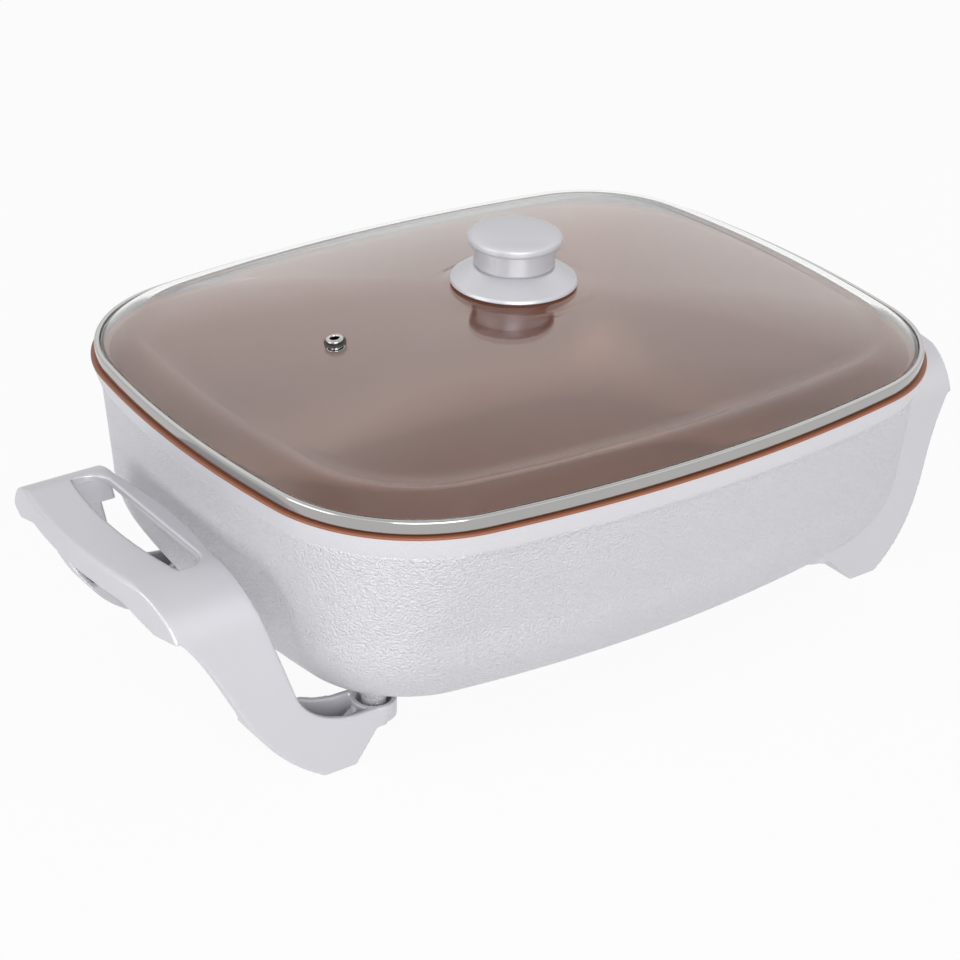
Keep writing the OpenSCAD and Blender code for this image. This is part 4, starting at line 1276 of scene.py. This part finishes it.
class SKILLET_OT_vent(bpy.types.Operator):
    """Sets the steam vent's eyelet and its ring in the glass"""
    bl_idname = "skillet.vent"
    bl_label = "Vent"

    def execute(self, context):
        s = lid_sizes()
        bore = s.vent_bore / 2
        tube = bore + 0.7 * MM
        seat, low = 1.2 * MM, -s.glass - 0.6 * MM
        cap = tube + 1.5 * MM
        profile = [(bore, low - 1 * MM), (tube + 1.6 * MM, low - 1 * MM), (tube + 1.6 * MM, low),
                   (tube, low), (tube, seat), (cap, seat), (cap, seat + 1.3 * MM),
                   (cap - 0.7 * MM, seat + 1.9 * MM), (bore + 0.3 * MM, seat + 1.9 * MM),
                   (bore, seat + 1.2 * MM)]
        eyelet = turned_piece("vent_eyelet", profile, 0.35 * MM, vent_place(), 64)
        dress(eyelet, "lid", rim_steel(), "rim_steel", "vent_grommet")
        wide = tube + 2.7 * MM
        washer = [(tube + 0.1 * MM, 0.1 * MM), (wide, 0.1 * MM), (wide, 1.1 * MM),
                  (tube + 0.1 * MM, 1.1 * MM)]
        disc = turned_piece("vent_ring", washer, 0.3 * MM, vent_place(), 64)
        dress(disc, "lid", silicone(), "seal", "vent_seal")
        return {"FINISHED"}


class SKILLET_OT_knob(bpy.types.Operator):
    """Turns the knob's cap and skirt"""
    bl_idname = "skillet.knob"
    bl_label = "Knob"

    def execute(self, context):
        out, neck = SKIRT_HIGH.x, lid_sizes().neck / 2
        low, foot = SKIRT_LOW.z, SKIRT_HIGH.z
        cone = low + 2 * MM
        skirt = [(out - 7 * MM, low), (out, low), (out - 0.7 * MM, cone), (neck + 0.5 * MM, foot),
                 (7.1 * MM, foot), (7.1 * MM, foot - 3 * MM), (neck - 3 * MM, foot - 3 * MM),
                 (out - 7 * MM, cone - 0.2 * MM)]
        piece = turned_piece("knob_skirt", skirt, 0.7 * MM, None, 128)
        dress(piece, "lid", satin_paint(), "knob_paint", "knob_flange")
        cap = KNOB_HIGH.x
        top, core = KNOB_HIGH.z, KNOB_LOW.z
        brim = foot + 11.5 * MM
        rise = top - brim - 3 * MM
        neck -= 0.3 * MM
        profile = [(4.6 * MM, core), (7 * MM, core), (7 * MM, foot + 0.1 * MM),
                   (neck - 0.8 * MM, foot + 0.1 * MM), (neck - 0.8 * MM, foot + 0.7 * MM),
                   (neck, foot + 1.1 * MM), (neck, brim),
                   (cap - 0.8 * MM, brim + 0.4 * MM), (cap, brim + 1.6 * MM)]
        for i in range(1, 16):
            a = math.radians(4 + 84 * i / 15)
            profile.append((cap * math.cos(a) ** 0.55, brim + 3 * MM + rise * math.sin(a)))
        profile += [(0.0, top), (0.0, core + 11.5 * MM), (4.6 * MM, core + 11.5 * MM)]
        piece = turned_piece("knob_cap", profile, 0.6 * MM, None, 128)
        dress(piece, "lid", satin_paint(), "knob_paint", "knob")
        for node, material in (("knob_insert", metal("turned_brass", (0.72, 0.48, 0.18), 0.25)),
                               ("knob_gasket", silicone()), ("glass_gasket", silicone()),
                               ("knob_washer", screw_steel())):
            paint_node(node, material)
        return {"FINISHED"}


# ---- Heater, socket and screws ----
def heater_path():
    """Centre line of the rod from one terminal round the loop to the other."""
    points = [Vector((ROD_HIGH.x, -TERMINAL_Y, ROD_Z)), Vector((BEND_X, -TERMINAL_Y, ROD_Z))]

    def turn(cx, cy, r, start, end, steps=10):
        for i in range(steps + 1):
            a = math.radians(start + (end - start) * i / steps)
            points.append(Vector((cx + r * math.cos(a), cy + r * math.sin(a), ROD_Z)))

    turn(BEND_X, -BEND_Y, BEND_R, 90, 180)
    side_x, side_y = LOOP_HALF_X - LOOP_CORNER, LOOP_HALF_Y - LOOP_CORNER
    turn(side_x, -side_y, LOOP_CORNER, 0, -90)
    turn(-side_x, -side_y, LOOP_CORNER, -90, -180)
    turn(-side_x, side_y, LOOP_CORNER, 180, 90)
    turn(side_x, side_y, LOOP_CORNER, 90, 0)
    turn(BEND_X, BEND_Y, BEND_R, 180, 270)
    points.append(Vector((ROD_HIGH.x, TERMINAL_Y, ROD_Z)))
    kept = [points[0]]
    for p in points[1:]:
        if (p - kept[-1]).length > 1e-5:
            kept.append(p)
    return kept


class SKILLET_OT_heater(bpy.types.Operator):
    """Bends the heating element and finishes the socket's pieces"""
    bl_idname = "skillet.heater"
    bl_label = "Heater and socket"

    def execute(self, context):
        sheath = metal("element_sheath", (0.30, 0.29, 0.285), 0.45, 0.2, (8.0, 8.0, 8.0))
        rail = path_curve("heater_rod", heater_path(), closed=False)
        rod = run_tree(rail, rod_tree, {"Radius": (ROD_HIGH.z - ROD_LOW.z) / 2, "Sides": 28,
                                        "Material": sheath})
        clean(rod.data, 1e-7, 40.0)
        dress(rod, "base", sheath, "element_steel", "heating_element")
        paint_node("socket_guard", metal("stamped_steel", (0.60, 0.61, 0.62), 0.32, 0.12,
                                         (2.0, 40.0, 2.0)))
        paint_node("terminal_pins", metal("nickel_plate", (0.70, 0.67, 0.60), 0.18))
        paint_node("terminal_insulators", moulded("white_porcelain", (0.80, 0.78, 0.72), 0.25))
        return {"FINISHED"}


# Radius of the shank, radius of the head and height of the head
LEG_SCREW = (2 * MM, 4 * MM, 2.6 * MM)
COVER_SCREW = (1.5 * MM, 3 * MM, 1.8 * MM)
GUARD_SCREW = (1.5 * MM, 2.8 * MM, 2 * MM)
KNOB_HEAD = 3 * MM


def screw_set(name, node, body, points, heads, shank, screw):
    """Screws at points under their heads, with the heads along one direction."""
    mesh = bpy.data.meshes.new(name)
    mesh.from_pydata(points, [], [])
    piece = run_tree(new_object(name, mesh), screw_tree, {
        "Shank Radius": screw[0], "Shank Length": shank, "Head Radius": screw[1],
        "Head Height": screw[2], "Heads Along": heads, "Material": screw_steel()})
    clean(piece.data, 1e-7, 30.0)
    dress(piece, body, screw_steel(), "screw_steel", node)


class SKILLET_OT_screws(bpy.types.Operator):
    """Drives the screws of the legs, the covers, the guard and the knob"""
    bl_idname = "skillet.screws"
    bl_label = "Screws"

    def execute(self, context):
        down = (0, 0, -1)
        corners = [(sx, sy) for sx in (1, -1) for sy in (1, -1)]
        low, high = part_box("leg_screws")
        seat = low.z + LEG_SCREW[2]
        spots = [(sx * BOSS_X, sy * BOSS_Y, seat) for sx, sy in corners]
        screw_set("leg_screw_set", "leg_screws", "base", spots, down, high.z - seat, LEG_SCREW)
        low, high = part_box("cover_screws")
        seat = low.z + COVER_SCREW[2]
        spots = [(sx * (high.x - COVER_SCREW[1]), sy * (high.y - COVER_SCREW[1]), seat)
                 for sx, sy in corners]
        screw_set("cover_screw_set", "cover_screws", "base", spots, down, high.z - seat,
                  COVER_SCREW)
        low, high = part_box("guard_screws")
        seat = high.x - GUARD_SCREW[2]
        spots = [(seat, sy * (high.y - GUARD_SCREW[1]), (low.z + high.z) / 2) for sy in (1, -1)]
        screw_set("guard_screw_set", "guard_screws", "base", spots, (1, 0, 0), seat - low.x,
                  GUARD_SCREW)
        low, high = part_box("knob_screw")
        seat, wide = low.z + KNOB_HEAD, lid_sizes().screw
        screw_set("knob_screw_set", "knob_screw", "lid", [(0, 0, seat)], down, high.z - seat,
                  (wide / 2, wide, KNOB_HEAD))
        paint_node("leg_washers", screw_steel())
        return {"FINISHED"}


# ---- Studio ----
EYE = Vector((-0.71069, -0.93926, 0.68389))
LOOK = Vector((0.52511, 0.71197, -0.46621)).normalized()
CAMERA_ROLL = math.radians(1.61)
LENS, SENSOR = 92.92, 36.0
# Brightness of the studio's walls in mirrors, from the floor's edge up to the ceiling
PANEL_END = 0.85
PANEL_TOP = 0.9
PANEL_BANDS = ((0.22, 1.05), (0.43, 1.25), (0.64, 1.45), (0.8, 1.0))
AMBIENT = 0.43
FLOOR_HALF, FLOOR_Z, FLOOR_GLOW = 6.0, -0.0005, 0.93
# Name, place, target, size and watts
LIGHTS = (("front_softbox", (-1.1, -2.4, 0.85), (0.0, 0.0, 0.08), (2.0, 1.4), 47.0),
          ("top_softbox", (0.2, 0.3, 2.4), (0.0, 0.0, 0.1), (1.8, 1.8), 1.5),
          ("left_softbox", (-2.4, 0.3, 0.6), (0.0, 0.0, 0.08), (1.4, 1.2), 14.0))


def seen_directly(tree):
    """1 for the camera's rays and those of mirrors and glass, and 0 for all others."""
    path = add(tree, "ShaderNodeLightPath")
    seen = math_node(tree, "MAXIMUM", path.outputs["Is Camera Ray"],
                     path.outputs["Is Transmission Ray"])
    return math_node(tree, "MAXIMUM", seen, path.outputs["Is Glossy Ray"])


def area_light(name, place, aim, size, power):
    lamp = bpy.data.lights.new(name, "AREA")
    lamp.shape, lamp.size, lamp.size_y = "RECTANGLE", size[0], size[1]
    lamp.energy = power
    holder = bpy.data.objects.new(name, lamp)
    holder.location = place
    holder.rotation_euler = (Vector(aim) - Vector(place)).to_track_quat("-Z", "Y").to_euler()
    bpy.context.scene.collection.objects.link(holder)


def make_floor():
    """Pale floor that looks white to the camera and grey to the light it throws back."""
    corners = [Vector((x * FLOOR_HALF, y * FLOOR_HALF, FLOOR_Z))
               for x, y in ((-1, -1), (1, -1), (1, 1), (-1, 1))]
    floor = new_object("studio_floor", mesh_of("studio_floor", corners, [(0, 1, 2, 3)]))
    material = bpy.data.materials.new("pale_floor")
    material.use_nodes = True
    tree = material.node_tree
    shader = next(n for n in tree.nodes if n.type == "BSDF_PRINCIPLED")
    preset(shader, Base_Color=(0.86, 0.86, 0.87, 1.0), Roughness=0.8)
    glow = preset(add(tree, "ShaderNodeEmission"), Color=(1.0, 1.0, 1.0, 1.0))
    blend(tree, math_node(tree, "MULTIPLY", seen_directly(tree), FLOOR_GLOW), shader, glow)
    floor.data.materials.append(material)


def make_walls(scene):
    """Plain bright surroundings, with bands of brightness that only mirrors show."""
    world = bpy.data.worlds.new("studio")
    scene.world = world
    world.use_nodes = True
    tree = world.node_tree
    tree.nodes.clear()
    path = add(tree, "ShaderNodeLightPath")
    place = add(tree, "ShaderNodeTexCoord")
    apart = add(tree, "ShaderNodeSeparateXYZ")
    link(tree, place.outputs["Generated"], apart.inputs[0])
    panels = add(tree, "ShaderNodeValToRGB")
    stops = panels.color_ramp.elements
    stops[1].position = PANEL_TOP
    for spot, value in PANEL_BANDS:
        stops.new(spot).color = (value, value, value, 1.0)
    for i in (0, -1):
        stops[i].color = (PANEL_END, PANEL_END, PANEL_END, 1.0)
    link(tree, apart.outputs["Z"], panels.inputs["Fac"])
    mirrored = math_node(tree, "MULTIPLY_ADD", path.outputs["Is Glossy Ray"],
                         math_node(tree, "SUBTRACT", panels.outputs["Color"], AMBIENT), AMBIENT)
    direct = math_node(tree, "MAXIMUM", path.outputs["Is Camera Ray"],
                       path.outputs["Is Transmission Ray"])
    strength = math_node(tree, "MAXIMUM", direct, mirrored)
    sky = preset(add(tree, "ShaderNodeBackground"), Color=(1.0, 1.0, 1.0, 1.0))
    link(tree, strength, sky.inputs["Strength"])
    link(tree, sky.outputs[0], add(tree, "ShaderNodeOutputWorld").inputs["Surface"])


def make_camera(scene):
    """Camera at EYE that looks along LOOK, rolled a little."""
    camera = bpy.data.cameras.new("camera")
    camera.lens, camera.sensor_width = LENS, SENSOR
    camera.clip_start, camera.clip_end = 0.05, 40.0
    holder = bpy.data.objects.new("camera", camera)
    scene.collection.objects.link(holder)
    right = LOOK.cross(Vector((0, 0, 1))).normalized()
    up = right.cross(LOOK)
    tilted = right * math.cos(CAMERA_ROLL) + up * math.sin(CAMERA_ROLL)
    above = up * math.cos(CAMERA_ROLL) - right * math.sin(CAMERA_ROLL)
    turned = Matrix((tilted, above, -LOOK)).transposed().to_4x4()
    holder.matrix_world = Matrix.Translation(EYE) @ turned
    scene.camera = holder


class SKILLET_OT_stage(bpy.types.Operator):
    """Sets the pale floor, the soft lights and the camera"""
    bl_idname = "skillet.stage"
    bl_label = "Stage"

    def execute(self, context):
        context.scene.view_settings.view_transform = "Standard"
        make_floor()
        make_walls(context.scene)
        for light in LIGHTS:
            area_light(*light)
        make_camera(context.scene)
        return {"FINISHED"}


class SKILLET_PT_panel(bpy.types.Panel):
    """Lists the skillet's sizes, finishes and pieces"""
    bl_idname = "SKILLET_PT_panel"
    bl_label = "Electric Skillet"
    bl_space_type = "VIEW_3D"
    bl_region_type = "UI"
    bl_category = "Skillet"

    def draw(self, context):
        column = self.layout.column()
        for group in (pan_sizes(), handle_sizes(), lid_sizes(), finish()):
            for name in group.__annotations__:
                column.prop(group, name)
        for operator in PIECES:
            column.operator(operator.bl_idname)


PIECES = (SKILLET_OT_stage, SKILLET_OT_pan, SKILLET_OT_lining, SKILLET_OT_handles,
          SKILLET_OT_glass, SKILLET_OT_rim, SKILLET_OT_vent, SKILLET_OT_knob,
          SKILLET_OT_heater, SKILLET_OT_screws)
SETTINGS = (SkilletPanSizes, SkilletHandleSizes, SkilletLidSizes, SkilletFinish)
CLASSES = SETTINGS + PIECES + (SKILLET_PT_panel,)


def register():
    for cls in CLASSES:
        bpy.utils.register_class(cls)
    scene = bpy.types.Scene
    scene.skillet_pan = bpy.props.PointerProperty(type=SkilletPanSizes)
    scene.skillet_handles = bpy.props.PointerProperty(type=SkilletHandleSizes)
    scene.skillet_lid = bpy.props.PointerProperty(type=SkilletLidSizes)
    scene.skillet_finish = bpy.props.PointerProperty(type=SkilletFinish)


def unregister():
    for name in ("skillet_pan", "skillet_handles", "skillet_lid", "skillet_finish"):
        delattr(bpy.types.Scene, name)
    for cls in reversed(CLASSES):
        bpy.utils.unregister_class(cls)


def main():
    register()
    for operator in PIECES:
        group, name = operator.bl_idname.split(".")
        getattr(getattr(bpy.ops, group), name)()


if __name__ == "__main__":
    main()
